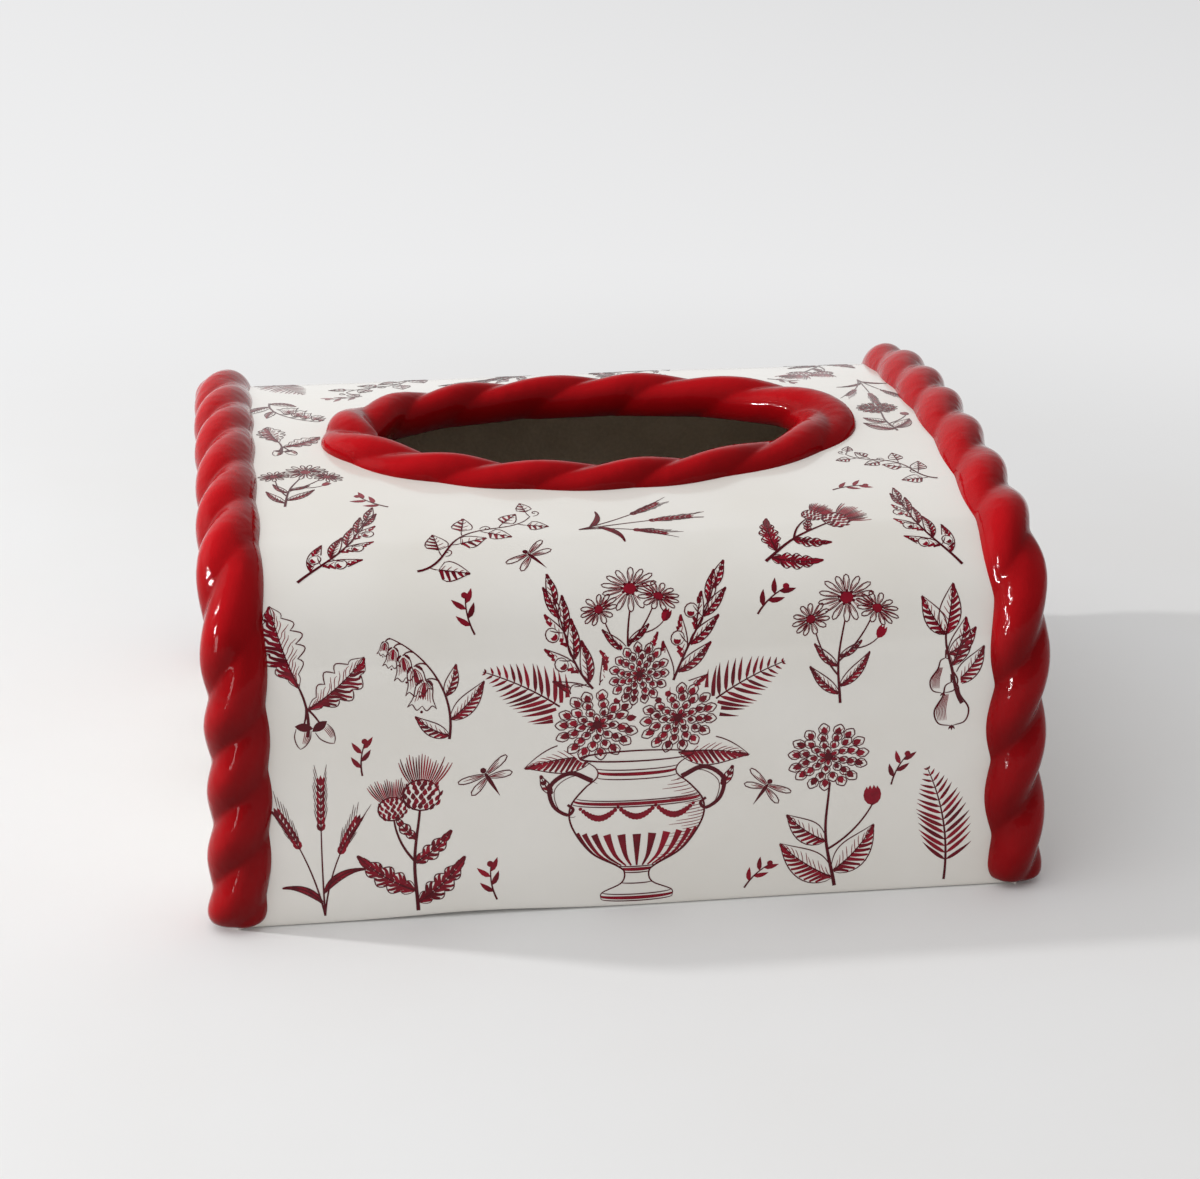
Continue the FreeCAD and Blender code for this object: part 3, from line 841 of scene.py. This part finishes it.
def wheat():
    """Three ears of wheat on bowed straws, each with paired grains and long awns."""
    strokes = []
    for lean, tall in ((-17, 0.84), (3, 1.0), (21, 0.74)):
        straw = bent((0, 0), 90 - 0.4 * lean, 34 * tall, -0.8 * lean)
        top = heading_at(straw, 1.0)
        ear = bent(straw[-1], top, 18 * tall, -0.6 * lean)
        strokes += [stalk(straw, 0.65, 0.4), stalk(ear, 0.4, HAIR)]
        for share in np.linspace(0, 1.0, 8):
            for side in (1, -1):
                grain = bent(at_share(ear, share), top + side * 38, 3.9, -side * 40)
                awn = bent(grain[-1], top + side * 15, hand.uniform(4.5, 7.5), -side * 5)
                strokes += [blade(grain, 1.35), pen(awn, HAIR)]
        strokes.append(blade(bent(ear[-1], top, 4.2), 1.4))
    strokes += leaf((0.4, 9), 62, 19, 2.8, -70, (True, True))
    strokes += leaf((-0.4, 5), 118, 17, 2.6, 66, (True, True))
    return strokes


def daisies(height=44.0):
    """Three daisies and a bud on one branching stem with narrow leaves."""
    main = bent((0, 0), 96, 0.72 * height, -16, 5)
    right = bent(at_share(main, 0.45), 44, 0.44 * height, 22)
    left = bent(at_share(main, 0.3), 132, 0.42 * height, -30)
    bud = bent(at_share(right, 0.3), -4, 9.0, 50)
    flowers = ((main[-1] + (0, 3), 9.2, 14, 10, 0.82), (right[-1] + (1, 1), 7.2, 12, -24, 0.66),
               (left[-1] + (-1, 2), 6.6, 11, 30, 0.72))
    strokes = [stalk(main, 0.9, 0.4)] + [stalk(branch, 0.6, 0.35) for branch in (right, left)]
    strokes.append(stalk(bud, 0.45, 0.3))
    for place, radius, petals, turn, squash in flowers:
        strokes = behind(strokes, place, 0.78 * radius, squash) + daisy(place, radius, petals, turn, squash)
    strokes += [blade(bent(bud[-1], 60 + lean, 4.6, -lean), 1.6) for lean in (-24, 0, 24)]
    return strokes + leaves(main, ((0.1, 50, 14), (0.18, -58, 15), (0.40, 56, 11), (0.5, -66, 9)), 0.26)


def thistle():
    """Two thistles: scaled round heads with brush tufts, on a stem with jagged leaves."""
    main = bent((0, 0), 92, 30.36, -8, 4)
    branch = bent(at_share(main, 0.5), 130, 13.8, -34)
    strokes = [stalk(main, 1.1, 0.7), stalk(branch, 0.8, 0.5)]
    for stem, size in ((main, 1.0), (branch, 0.76)):
        head = [pen(circle((0, 4.6), 5.0, 0.92, 17), BOLD)]
        for row, tall in enumerate(np.linspace(1.2, 8.0, 6)):
            wide = 5.0 * math.sqrt(1 - ((tall - 4.6) / 4.8) ** 2)
            for slot in np.linspace(-0.8, 0.8, 5) + 0.16 * (row % 2):
                scale_leaf = bent((slot * wide, tall - 0.9), 90 - 28 * slot, 2.2)
                head.append(blade(scale_leaf, 1.5 * math.sqrt(1 - (0.8 * slot) ** 2), None, 0.4))
        for fan in np.linspace(-1, 1, 19):
            start = (3.4 * fan, 8.6 - 0.8 * fan ** 2)
            bristle = bent(start, 90 - 42 * fan, hand.uniform(6.0, 8.6), 22 * fan)
            head.append(pen(bristle, 0.42, hand.uniform(0, 1)))
        strokes += moved(head, stem[-1], heading_at(stem, 1.0) - 90, size)
    jagged = ((0.08, -62, 19), (0.2, 64, 20), (0.48, -60, 14), (0.72, 58, 9))
    return strokes + leaves(main, jagged, 0.36, 4.0)


def bellflowers():
    """Nodding bells on an arched stem, with leaves below."""
    main = bent((0, 0), 98, 44, -74)
    flank = np.array([(0.5, 0), (2.6, -2), (3.1, -6), (4.7, -9.6)])
    frill = np.array([(4.7, -9.6), (3.2, -8.6), (1.6, -10.4), (0, -8.8)])
    strokes = [stalk(main, 0.9, 0.3)]
    for share, size in ((0.5, 1.05), (0.66, 1.0), (0.8, 0.85), (0.91, 0.66), (1.0, 0.46)):
        hook = bent(at_share(main, share), heading_at(main, share) - 20, 4.6 * size, -75)
        bell = [blade(np.linspace((0, -0.6), (0, -6.8), 6), 1.5, MIDDLE, 0.5), dot((0, -10.9), 0.5)]
        for side in (-1, 1):
            bell += [pen(smooth(edge * (side, 1)), FINE) for edge in (flank, frill)]
            bell.append(blade(bent((0.6 * side, 0.4), -90 + 58 * side, 3.6, -40 * side), 1.1, DARK))
            for fan in (0.25 * side, 0.5 * side, 0.75 * side):
                end = (3.4 * fan, -6.0 - 2.2 * abs(fan))
                bell.append(hatch(smooth([(0.5 * fan, -0.8), (2.3 * fan, -2.8), (2.9 * fan, -6), end], 3)))
        strokes.append(stalk(hook, 0.5, 0.35))
        strokes += moved(bell, hook[-1], hand.uniform(-14, 14), size)
    return strokes + leaves(main, ((0.03, -82, 14), (0.16, 54, 18), (0.36, 44, 12)), 0.36)


def oak_twig():
    """Oak twig: two lobed leaves and a pair of acorns."""
    twig = bent((0, 0), 80, 16, 30)
    strokes = [stalk(twig, 1.0, 0.6)]
    strokes += leaf(twig[-1], 112, 27, 14.5, -14, (True, False), 6, 0.55)
    strokes += leaf(at_share(twig, 0.55), 30, 24, 12.5, 20, (False, True), 5, 0.55)
    for facing, reach in ((-46, 7), (-92, 6)):
        hang = bent(at_share(twig, 0.6), facing, reach, -20)
        acorn = [blade(np.linspace((-2.9, 0.6), (2.9, 0.6), 7), 3.0, DARK, 0.5)]
        flank = np.array([(2.4, -0.2), (2.5, -3), (1.4, -5.6), (0, -7.0)])
        acorn += [pen(smooth(flank * (side, 1)), FINE) for side in (-1, 1)]
        for wide in (0.5, 1.0, 1.5, 2.0):
            acorn.append(hatch(smooth([(wide, -0.8), (1.05 * wide, -2.8), (0.7 * wide, -5.0)], 3)))
        strokes.append(stalk(hang, 0.7, 0.5))
        strokes += moved(acorn, hang[-1] + (0, -1), facing + 80, 0.95)
    return strokes


def pear_twig():
    """Pear twig: two pears with shaded sides under a spray of leaves."""
    twig = bent((0, 0), 60, 24, 40, 10)
    sprays = ((0.3, 62, 15), (0.55, 40, 16), (0.72, 78, 12), (0.98, 12, 16), (0.98, -40, 14))
    strokes = leaves(twig, sprays, 0.42)
    for share, size in ((0.8, 0.8), (0.45, 1.0)):
        hang = bent(at_share(twig, share), -70, 3.0, -20)
        pear = [stalk(np.linspace((0, 2.6 / size), (0, 0), 4), 0.7, 0.5)]
        flank = np.array([(0, 0), (1.9, -1.2), (2.7, -4.6), (5.3, -9.2), (4.2, -13.4), (0.5, -14.6)])
        pear += [pen(smooth(flank * (side, 1)), BOLD) for side in (-1, 1)]
        for shade in np.linspace(0.35, 0.9, 7):
            pear.append(hatch(smooth([(2.4 * shade, -4.0), (5.1 * shade, -8.8), (4.6 * shade, -12.6)], 4)))
        pear += [blade(bent((0, -14.4), -90 + lean, 1.8), 0.7, DARK) for lean in (-35, 0, 35)]
        strokes = behind(strokes, hang[-1] + (0, -9.8 * size), 5.2 * size, 1.0)
        strokes += moved(pear, hang[-1], hand.uniform(-8, 8), size)
    return strokes + [stalk(twig, 1.2, 0.6)]


def dahlia_stem(height=48.0):
    """A dahlia in full flower with a bud and broad leaves."""
    main = bent((0, 0), 95, 0.7 * height, -10, 6)
    branch = bent(at_share(main, 0.36), 26, 0.40 * height, 34)
    strokes = [stalk(main, 1.1, 0.6), stalk(branch, 0.7, 0.45)]
    strokes += dahlia(main[-1] + (0, 8), 12.0)
    for lean in (-40, -14, 14, 40):
        strokes.append(blade(bent(branch[-1] + (0, -0.5), 90 + lean, 6.4, -1.3 * lean), 2.3))
    return strokes + leaves(main, ((0.08, 54, 20), (0.14, -66, 19), (0.44, 58, 15)), 0.48)


def ivy():
    """Trail of ivy: a wavy stem with broad pointed leaves by turns, and curled tendrils."""
    trail = bent((0, 0), 40, 46, 60, 40)
    strokes = [stalk(trail, 0.8, 0.3)]
    for index, share in enumerate(np.linspace(0.08, 1.0, 8)):
        side = 1 if index % 2 else -1
        start, heading = at_share(trail, share), heading_at(trail, share)
        hang = bent(start, heading + side * 62, 3.0, -side * 25)
        size = 9.5 - 3.6 * share
        strokes.append(pen(hang, FINE))
        strokes += leaf(hang[-1], heading + side * 40, size, 0.8 * size, 0, (side > 0, side < 0), 0, 0.3)
        if index % 3 == 1:
            curl = np.linspace(0, 1, 14)
            turn = np.radians(heading - side * 60) + side * 7.5 * curl ** 1.3
            steps = 0.75 * (1.25 - curl)[:, None] * np.stack([np.cos(turn), np.sin(turn)], axis=-1)
            strokes.append(pen(start + np.cumsum(steps, axis=0), FINE))
    return strokes


def dragonfly():
    """Dragonfly: a tapering body and four veined wings."""
    strokes = [blade(np.linspace((0, 2.2), (0, -6.6), 9), 1.2, DARK, 0.3), dot((0, 2.9), 0.9)]
    for side, lean in ((0, 14), (180, -14)):
        strokes += petal(np.array((0, 1.4)), side + lean, 8.4, 2.2)
        strokes += petal(np.array((0, 0.4)), side - 1.4 * lean, 7.2, 2.3)
    return strokes


def sprout():
    """Small filler: a bowed twig with a few pointed leaves and a bud."""
    twig = bent((0, 0), 90, 10, -30)
    strokes = [stalk(twig, 0.55, 0.3), dot(twig[-1] + (0.2, 0.8), 0.9, MIDDLE)]
    for share, side in ((0.25, 1), (0.45, -1), (0.7, 1), (0.85, -1)):
        strokes.append(blade(bent(at_share(twig, share), 80 + side * 48, 4.6, -side * 20), 1.5, None, 0.4))
    return strokes


def urn():
    """Two-handled footed urn: turned outline, bands, flutes, a swag of beads and shading to the right."""
    profile = smooth([(10.5, 0), (10.2, 2.2), (4.6, 5.0), (3.6, 8.4), (5.6, 10.6), (13.5, 15.5),
                      (19.0, 24.0), (19.4, 30.5), (15.4, 36.0), (11.6, 39.5), (12.2, 42.6), (16.6, 45.6)])
    scroll = smooth([(13.0, 38.4), (19.5, 41.2), (25.2, 37.4), (24.4, 31.2),
                     (20.4, 28.0), (18.6, 29.6), (20.2, 31.2)])
    strokes = [pen(circle((0, 45.6), 16.6, 0.1, 33), BOLD)]

    def radius(tall):
        return np.interp(tall, profile[:, 1], profile[:, 0])

    def round_line(tall, angles):
        sag = 0.10 * radius(tall) * np.cos(angles)
        return np.stack([radius(tall) * np.sin(angles), tall - sag], axis=-1)

    girdle = np.linspace(-math.pi / 2, math.pi / 2, 17)
    for tall in (0.1, 2.2, 5.2, 8.6, 10.8, 31.4, 33.2, 39.4, 42.4):
        strokes.append(pen(round_line(tall, girdle), FINE))
    strokes += [pen(round_line(tall, girdle), 1.1, MIDDLE, "fill") for tall in (1.1, 9.7, 32.3, 41.0)]
    tall = np.linspace(11.2, 22.5, 9)
    for flute in np.linspace(-1.25, 1.25, 11):
        half = np.linspace(0.25, 1.25, 9) * math.cos(flute) ** 0.8
        strokes.append((round_line(tall, flute), half, hand.uniform(0.2, 0.7), "fill"))
    for start in (-16.5, -5.5, 5.5):
        share = np.linspace(0, 1, 13)
        drop = np.sin(math.pi * share)
        beads = np.stack([start + 11 * share, 29.6 - 3.3 * drop], axis=-1)
        strokes += [dot(bead, 0.55 + 0.5 * fall, MIDDLE) for bead, fall in zip(beads, drop)]
    for tall in np.linspace(12.5, 38.0, 26):
        inner = math.asin(0.62 + 0.14 * math.sin(1.7 * tall))
        strokes.append(hatch(round_line(tall, np.linspace(inner, 1.45, 5))))
    handle = [(scroll, np.linspace(0.75, 0.4, len(scroll)), DARK, "line"), pen(profile, BOLD)]
    handle += [pen(scroll[:-8] + (-1.4, -0.9), HAIR)]
    handle += leaf((24.6, 35.0), 46, 7.0, 2.6, 30, (True, True))
    return strokes + handle + flipped(handle)


def bouquet():
    """Flowers in the urn: dahlias over its lip, daisies above, olive and fern fronds to the sides."""
    blooms = (((-11.5, 56), 12.5, 10), ((11.8, 57), 11.8, 40), ((0.5, 71), 9.8, 70))
    strokes = []
    for lean, reach in ((62, 44), (-62, 42)):
        strokes += moved(fern(reach, -0.5 * lean), (-0.14 * lean, 49), 0.88 * lean)
    for lean, reach in ((38, 40), (-36, 42)):
        strokes += moved(olive_branch(reach, 0.5 * lean), (-0.14 * lean, 58), 0.7 * lean)
    for foot, heading, bend, solid in ((-12, 176, 22, (True, False)), (12, 6, -22, (False, True))):
        strokes += leaf((foot, 46), heading, 21, 9.24, bend, solid)
    strokes += moved(daisies(40), (-1, 68), 2, 0.9)
    for place, radius, turn in blooms:
        strokes = behind(strokes, place, radius) + dahlia(place, radius, turn)
    return strokes


def vault_panel(facing, x, height, lift):
    """Developed vault: height is measured from the foot that is faced, over its shoulder and the crown."""
    return vault_point(facing * x, facing * (height - HALF_RUN), lift)


def end_panel(side, across, height, lift):
    """End wall as seen from outside."""
    return end_face(side, side * across, height, lift)


FRONT, BACK, LEFT, RIGHT = (vault_panel, 1), (vault_panel, -1), (end_panel, -1), (end_panel, 1)
INK_DARK = (0.075, 0.003, 0.008, 1.0)
INK_LIGHT = (0.31, 0.004, 0.020, 1.0)
crimson_ink, ink_place = new_finish("crimson_ink")
ink_tone = ink_place.node("ShaderNodeAttribute", {"attribute_name": "tone"}, None, 2)
thinned = ink_tone + 0.7 * ink_place.noise(240.0, 3.0) - 0.35
set_shader(ink_place, {
    "Base Color": thinned.ramp(-0.1, 1.0).blend(INK_DARK, INK_LIGHT),
    "Roughness": 0.11 + 0.08 * ink_place.noise(150.0),
    "Normal": ink_place.noise(95.0, 1.0).relief(GLAZE_RELIEF),
    "IOR": 1.3,
})

INK_LIFT = {"fill": 0.03, "hatch": 0.05, "line": 0.07}
INK_SPREAD = 0.015
INK_KEEL = 0.05
THINNEST_LINE = 0.03
white_pieces = [vault]


def print_sprigs(name, panel, strokes):
    """One piece of ink: each stroke's edges, on solid shapes points between them, and a keel below."""
    grids, tones, sides = [], [], {}
    total = 0
    for path, half, tone, layer in strokes:
        across = np.linspace(-1, 1, 5) if layer == "fill" else np.array([-1.0, 1.0])
        reach = np.maximum(half, THINNEST_LINE)[:, None] * across
        edges = path[:, None] + leftward(path)[:, None] * reach[..., None]
        lift = np.full(edges.shape[:2], INK_LIFT[layer] + hand.uniform(0, INK_SPREAD))
        top = np.concatenate([edges, lift[..., None]], axis=-1)
        keel = np.concatenate([path, np.full((len(path), 1), -INK_KEEL)], axis=-1)
        grid = np.concatenate([top, keel[:, None]], axis=1)
        for face in grid_faces(*grid.shape[:2], capped=True):
            sides.setdefault(face.shape[1], []).append(face + total)
        total += grid.shape[0] * grid.shape[1]
        grids.append(grid.reshape(-1, 3))
        tones.append(np.full(grid.shape[0] * grid.shape[1], tone))
    place_on, side = panel
    points = place_on(side, *np.concatenate(grids).T)
    piece = write_mesh(name, points, [np.concatenate(faces) for faces in sides.values()], [crimson_ink])
    piece.data.attributes.new("tone", "FLOAT", "POINT").data.foreach_set("value", np.concatenate(tones))
    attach(piece, "root")
    white_pieces.append(piece)


def spread(*sprigs):
    """Sprigs laid out on a panel, each with its place, its turn in degrees and its size."""
    strokes = []
    for sprig, x, height, turn, size in sprigs:
        strokes += moved(sprig, (x, height), turn, size)
    return strokes


print_sprigs("front_print", FRONT, spread(
    (urn() + bouquet(), 1, 3, 0, 1.0),
    (wheat(), -90, 3, 3, 0.80),
    (thistle(), -63, 3, 0, 1.06),
    (sprout(), -40, 5, 24, 1.1),
    (dahlia_stem(), 60, 3, 4, 1.02),
    (fern(38, -30), 93, 3, 10, 1.0),
    (sprout(), 33, 4, -30, 1.0),
    (sprout(), 76, 35, -10, 1.0),
    (oak_twig(), -93, 60, 2, 0.94),
    (flipped(bellflowers()), -53, 57, -2, 0.85),
    (flipped(pear_twig()), 96, 60, 4, 0.95),
    (daisies(), 60, 62, -2, 0.92),
    (dragonfly(), -42, 44, 30, 1.0),
    (dragonfly(), 38.5, 36, -34, 0.9),
    (sprout(), -78, 47, 10, 1.0),
    (sprout(), -45, 88, 26, 1.1),
    (sprout(), 36, 90, -34, 1.1),
))
print_sprigs("front_crown_print", FRONT, spread(
    (flipped(olive_branch()), -94, 106, -36, 0.88),
    (ivy(), -60, 108, -34, 0.98),
    (dragonfly(), -27, 112, 40, 0.9),
    (wheat(), -12, 124, -78, 0.62),
    (thistle(), 40, 106, -52, 0.82),
    (olive_branch(), 97, 102, 22, 0.82),
    (daisies(), -96, 146, -14, 0.74),
    (sprout(), -66, 143, 62, 1.1),
    (flipped(ivy()), 99, 146, 30, 0.72),
    (sprout(), 66, 141, -62, 1.0),
    (oak_twig(), -96, 187, -4, 0.62),
    (dahlia_stem(), 95, 184, 4, 0.56),
))
print_sprigs("back_print", BACK, spread(
    (dahlia_stem(60), -3, 3, 0, 1.3),
    (flipped(fern(46, 36)), -34, 4, 12, 0.95),
    (fern(46, 36), 36, 4, -12, 0.95),
    (pear_twig(), -76, 24, 0, 1.05),
    (wheat(), 62, 3, 2, 0.9),
    (sprout(), -96, 4, 8, 1.2),
    (oak_twig(), 90, 14, -2, 0.85),
    (olive_branch(), -90, 62, -6, 1.0),
    (thistle(), -50, 58, 6, 0.88),
    (flipped(ivy()), 60, 62, 8, 0.95),
    (flipped(bellflowers()), 94, 58, 2, 0.95),
    (dragonfly(), 26, 62, 25, 1.0),
    (dragonfly(), -26, 62, -35, 0.9),
    (sprout(), 16, 88, -20, 1.1),
))
print_sprigs("back_crown_print", BACK, spread(
    (thistle(), -92, 108, -24, 0.85),
    (daisies(), -36, 106, -38, 0.82),
    (olive_branch(), 8, 112, -56, 0.8),
    (ivy(), 44, 108, -24, 0.95),
    (flipped(fern(40, 30)), 97, 106, 18, 0.85),
    (wheat(), -95, 148, 2, 0.58),
    (sprout(), -66, 142, 62, 1.0),
    (sprout(), 68, 144, -58, 1.1),
    (flipped(bellflowers()), 98, 150, 0, 0.72),
))
print_sprigs("left_end_print", LEFT, spread(
    (dahlia_stem(), -4, 3, 0, 1.15),
    (thistle(), -44, 3, 4, 1.05),
    (wheat(), -76, 3, 4, 0.95),
    (flipped(pear_twig()), 46, 24, 0, 1.05),
    (fern(40, -30), 78, 3, 8, 1.0),
    (oak_twig(), -44, 62, 4, 0.9),
    (daisies(), 26, 62, -4, 0.8),
    (olive_branch(), 74, 50, 16, 0.8),
    (dragonfly(), -8, 84, 30, 1.0),
    (sprout(), -78, 62, -10, 1.2),
    (sprout(), 20, 6, -24, 1.0),
))
print_sprigs("right_end_print", RIGHT, spread(
    (flipped(bellflowers()), 1, 3, -6, 1.2),
    (daisies(), -44, 3, 2, 1.05),
    (fern(42, 30), -78, 3, -6, 1.0),
    (dahlia_stem(), 43, 3, -2, 1.05),
    (flipped(oak_twig()), 80, 16, 4, 0.95),
    (thistle(), 6, 52, 2, 1.0),
    (flipped(olive_branch()), -66, 54, -20, 0.85),
    (ivy(), 50, 66, 8, 0.8),
    (dragonfly(), -26, 66, -30, 1.0),
    (sprout(), 64, 4, -20, 1.0),
    (sprout(), -20, 92, 40, 1.1),
))

# Floor, light and camera
# The cover stands on a plain pale matte table in a bright room. Far from the cover the table glows
# for the camera and in the glaze, brighter towards the lamp, as painted light. A small lamp on the
# left and a wide fill above light it, and a key lights the red pieces alone. Pale cards on the left
# and behind are mirrored in the glaze, and strips of light on the left leave the sparks on the red.
FLOOR_RADIUS = 6000.0
FLOOR_RINGS, FLOOR_SPOKES = 12, 96
TABLE_PALE, TABLE_WARM = (0.865, 0.865, 0.865, 1.0), (0.855, 0.85, 0.845, 1.0)
FAR_LIT, FAR_DIM = (0.91, 0.91, 0.915, 1.0), (0.70, 0.70, 0.705, 1.0)
FAR_START, FAR_FULL = 0.28, 0.60
floor_finish, table_place = new_finish("pale_table")
set_shader(table_place, {
    "Base Color": table_place.noise(9.0, 3.0).ramp(0.3, 0.7).blend(TABLE_PALE, TABLE_WARM),
    "Roughness": 0.75 + 0.1 * table_place.noise(200.0),
    "IOR": 1.2,
})


def seen_rays(tree):
    """1 on rays that show the surroundings: from the camera, from gloss and through glass."""
    rays = tree.nodes.new("ShaderNodeLightPath").outputs
    camera_ray, gloss_ray, glass_ray = (
        Socket(tree, rays[name]) for name in ("Is Camera Ray", "Is Glossy Ray", "Is Transmission Ray"))
    return (camera_ray + gloss_ray + glass_ray).ramp(0.0, 1.0)


table_tree = table_place.tree
from_cover = table_place.node("ShaderNodeVectorMath", {"operation": "LENGTH"}, {0: table_place}, 1)
away_from_lamp = 1.2 * table_place.part(0) + 0.57 * table_place.part(1)
# Painted light: far from the cover the table glows for camera, gloss and glass rays, brighter on the side
# towards the lamp and dimmer away from it.
painted_far_light = away_from_lamp.ramp(-0.8, 2.2).blend(FAR_LIT, FAR_DIM)
far_glow = table_place.node("ShaderNodeEmission", None, {"Color": painted_far_light})
near_table = Socket(table_tree, table_tree.nodes["Principled BSDF"].outputs[0])
far_share = from_cover.ramp(FAR_START, FAR_FULL) * seen_rays(table_tree)
whole_table = table_place.node("ShaderNodeMixShader", None, {0: far_share, 1: near_table, 2: far_glow})
table_tree.links.new(whole_table.output, table_tree.nodes["Material Output"].inputs["Surface"])
ring = np.linspace(0, 1, FLOOR_RINGS + 1)[1:, None] * FLOOR_RADIUS
spoke = np.linspace(0, 2 * math.pi, FLOOR_SPOKES, endpoint=False)
floor_points = np.stack([ring * np.cos(spoke), ring * np.sin(spoke), 0 * ring * spoke], axis=-1)
floor_faces = grid_faces(FLOOR_RINGS, FLOOR_SPOKES) + [np.arange(FLOOR_SPOKES)[None, :]]
floor = write_mesh("table", floor_points, floor_faces, [floor_finish])


def turn_to(holder, place, aim):
    """Put a lamp or camera at a place and point it at another, upright."""
    start, end = (np.array(spot) * MM for spot in (place, aim))
    holder.location = start
    holder.rotation_euler = Vector(end - start).to_track_quat("-Z", "Y").to_euler()


LAMP_AIM = (0.0, 0.0, 50.0)
WHITE, WARM_WHITE = (1.0, 1.0, 1.0), (1.0, 0.985, 0.965)


def light_group(name, pieces, state="INCLUDE"):
    """Collection of the pieces that a lamp lights alone, or that cast no shadow from it."""
    group = bpy.data.collections.new(name)
    for index, piece in enumerate(pieces):
        group.objects.link(piece)
        group.collection_objects[index].light_linking.link_state = state
    return group


def studio_lamp(name, place, width, height, watts, mirrored, lit_pieces=None, colour=WHITE):
    """Rectangular lamp that faces the cover, for all pieces or some: mirrored only, or as light only."""
    lamp = bpy.data.lights.new(name, "AREA")
    lamp.shape = "RECTANGLE"
    lamp.size, lamp.size_y = width * MM, height * MM
    lamp.energy = watts
    lamp.color = colour
    holder = bpy.data.objects.new(name, lamp)
    turn_to(holder, place, LAMP_AIM)
    holder.visible_glossy = mirrored
    holder.visible_diffuse = not mirrored
    holder.visible_camera = False
    holder.light_linking.receiver_collection = lit_pieces
    bpy.context.scene.collection.objects.link(holder)
    return holder


left_rope, right_rope = bpy.data.objects["left_rope"], bpy.data.objects["right_rope"]
without_shadow = light_group("without_shadow", (rim, left_rope), "EXCLUDE")
red_group = light_group("red_pieces", (left_rope, right_rope, rim))
white_group = light_group("white_pieces", white_pieces)
on_ropes = light_group("rope_sparks", (left_rope, right_rope))
on_left = light_group("left_sparks", (left_rope,))
on_right = light_group("right_sparks", (right_rope,))
on_rim = light_group("rim_sparks", (rim,))

left_lamp = studio_lamp("left_lamp", (-1032, 202, 710), 60, 60, 5.4, False)
left_lamp.light_linking.blocker_collection = without_shadow
studio_lamp("top_fill", (-600, -500, 1300), 1200, 1200, 4.2, False)
studio_lamp("left_card", (-1200, 350, 900), 900, 700, 1.2, True, None, WARM_WHITE)
studio_lamp("red_key", (-1050, -60, 520), 300, 300, 11.0, False, red_group)
studio_lamp("rear_card", (120, 1900, 760), 3000, 1600, 5.0, True, white_group)
SPARKS = (
    ((-820, -800, 130), 130, 480, 3.0, on_ropes),
    ((-1015, -96, 743), 70, 220, 12.0, on_left),
    ((-1037, -562, 487), 70, 220, 12.0, on_left),
    ((-717, -450, 738), 70, 220, 12.0, on_right),
    ((-935, -314, 375), 50, 220, 9.0, on_right),
    ((-892, -522, 284), 50, 220, 9.0, on_right),
    ((-785, -747, 139), 50, 160, 7.0, on_right),
    ((-1007, -190, 175), 56, 60, 7.4, on_rim),
    ((-1027, -34, 175), 50, 60, 6.6, on_rim),
)
for index, (strip_place, width, height, watts, lit_pieces) in enumerate(SPARKS):
    studio_lamp("spark_%d" % index, strip_place, width, height, watts, True, lit_pieces)

world = bpy.data.worlds.new("pale_room")
world.use_nodes = True
bpy.context.scene.world = world
room_tree = world.node_tree
ROOM_LEFT, ROOM_RIGHT = (0.74, 0.74, 0.74, 1.0), (0.50, 0.50, 0.50, 1.0)
BACKDROP = (0.75, 0.75, 0.75, 1.0)
DIM_FRONT = (0.28, 0.28, 0.28, 1.0)
look = Socket(room_tree, room_tree.nodes.new("ShaderNodeTexCoord").outputs["Generated"])
rightward, backward, skyward = (look.part(axis) for axis in range(3))
low_and_left = (1 - skyward.ramp(0.45, 0.85)) * (1 - rightward.ramp(0.25, 0.7))
backdrop = (backward.ramp(-0.6, 0.3) * low_and_left).blend(DIM_FRONT, BACKDROP)
room_light = rightward.ramp(-0.8, 0.8).blend(ROOM_LEFT, ROOM_RIGHT)
room = seen_rays(room_tree).blend(room_light, backdrop)
room_tree.links.new(room.output, room_tree.nodes["Background"].inputs["Color"])

EYE, TARGET = (-109.086, -884.944, 414.350), (3.30, 0.0, 59.36)
LENS, SENSOR_WIDTH = 90.604, 36.0
camera = bpy.data.cameras.new("photo_view")
camera.sensor_fit = "HORIZONTAL"
camera.sensor_width = SENSOR_WIDTH
camera.lens = LENS
view = bpy.data.objects.new("photo_view", camera)
turn_to(view, EYE, TARGET)
bpy.context.scene.collection.objects.link(view)
bpy.context.scene.camera = view
bpy.context.scene.view_settings.view_transform = "Standard"
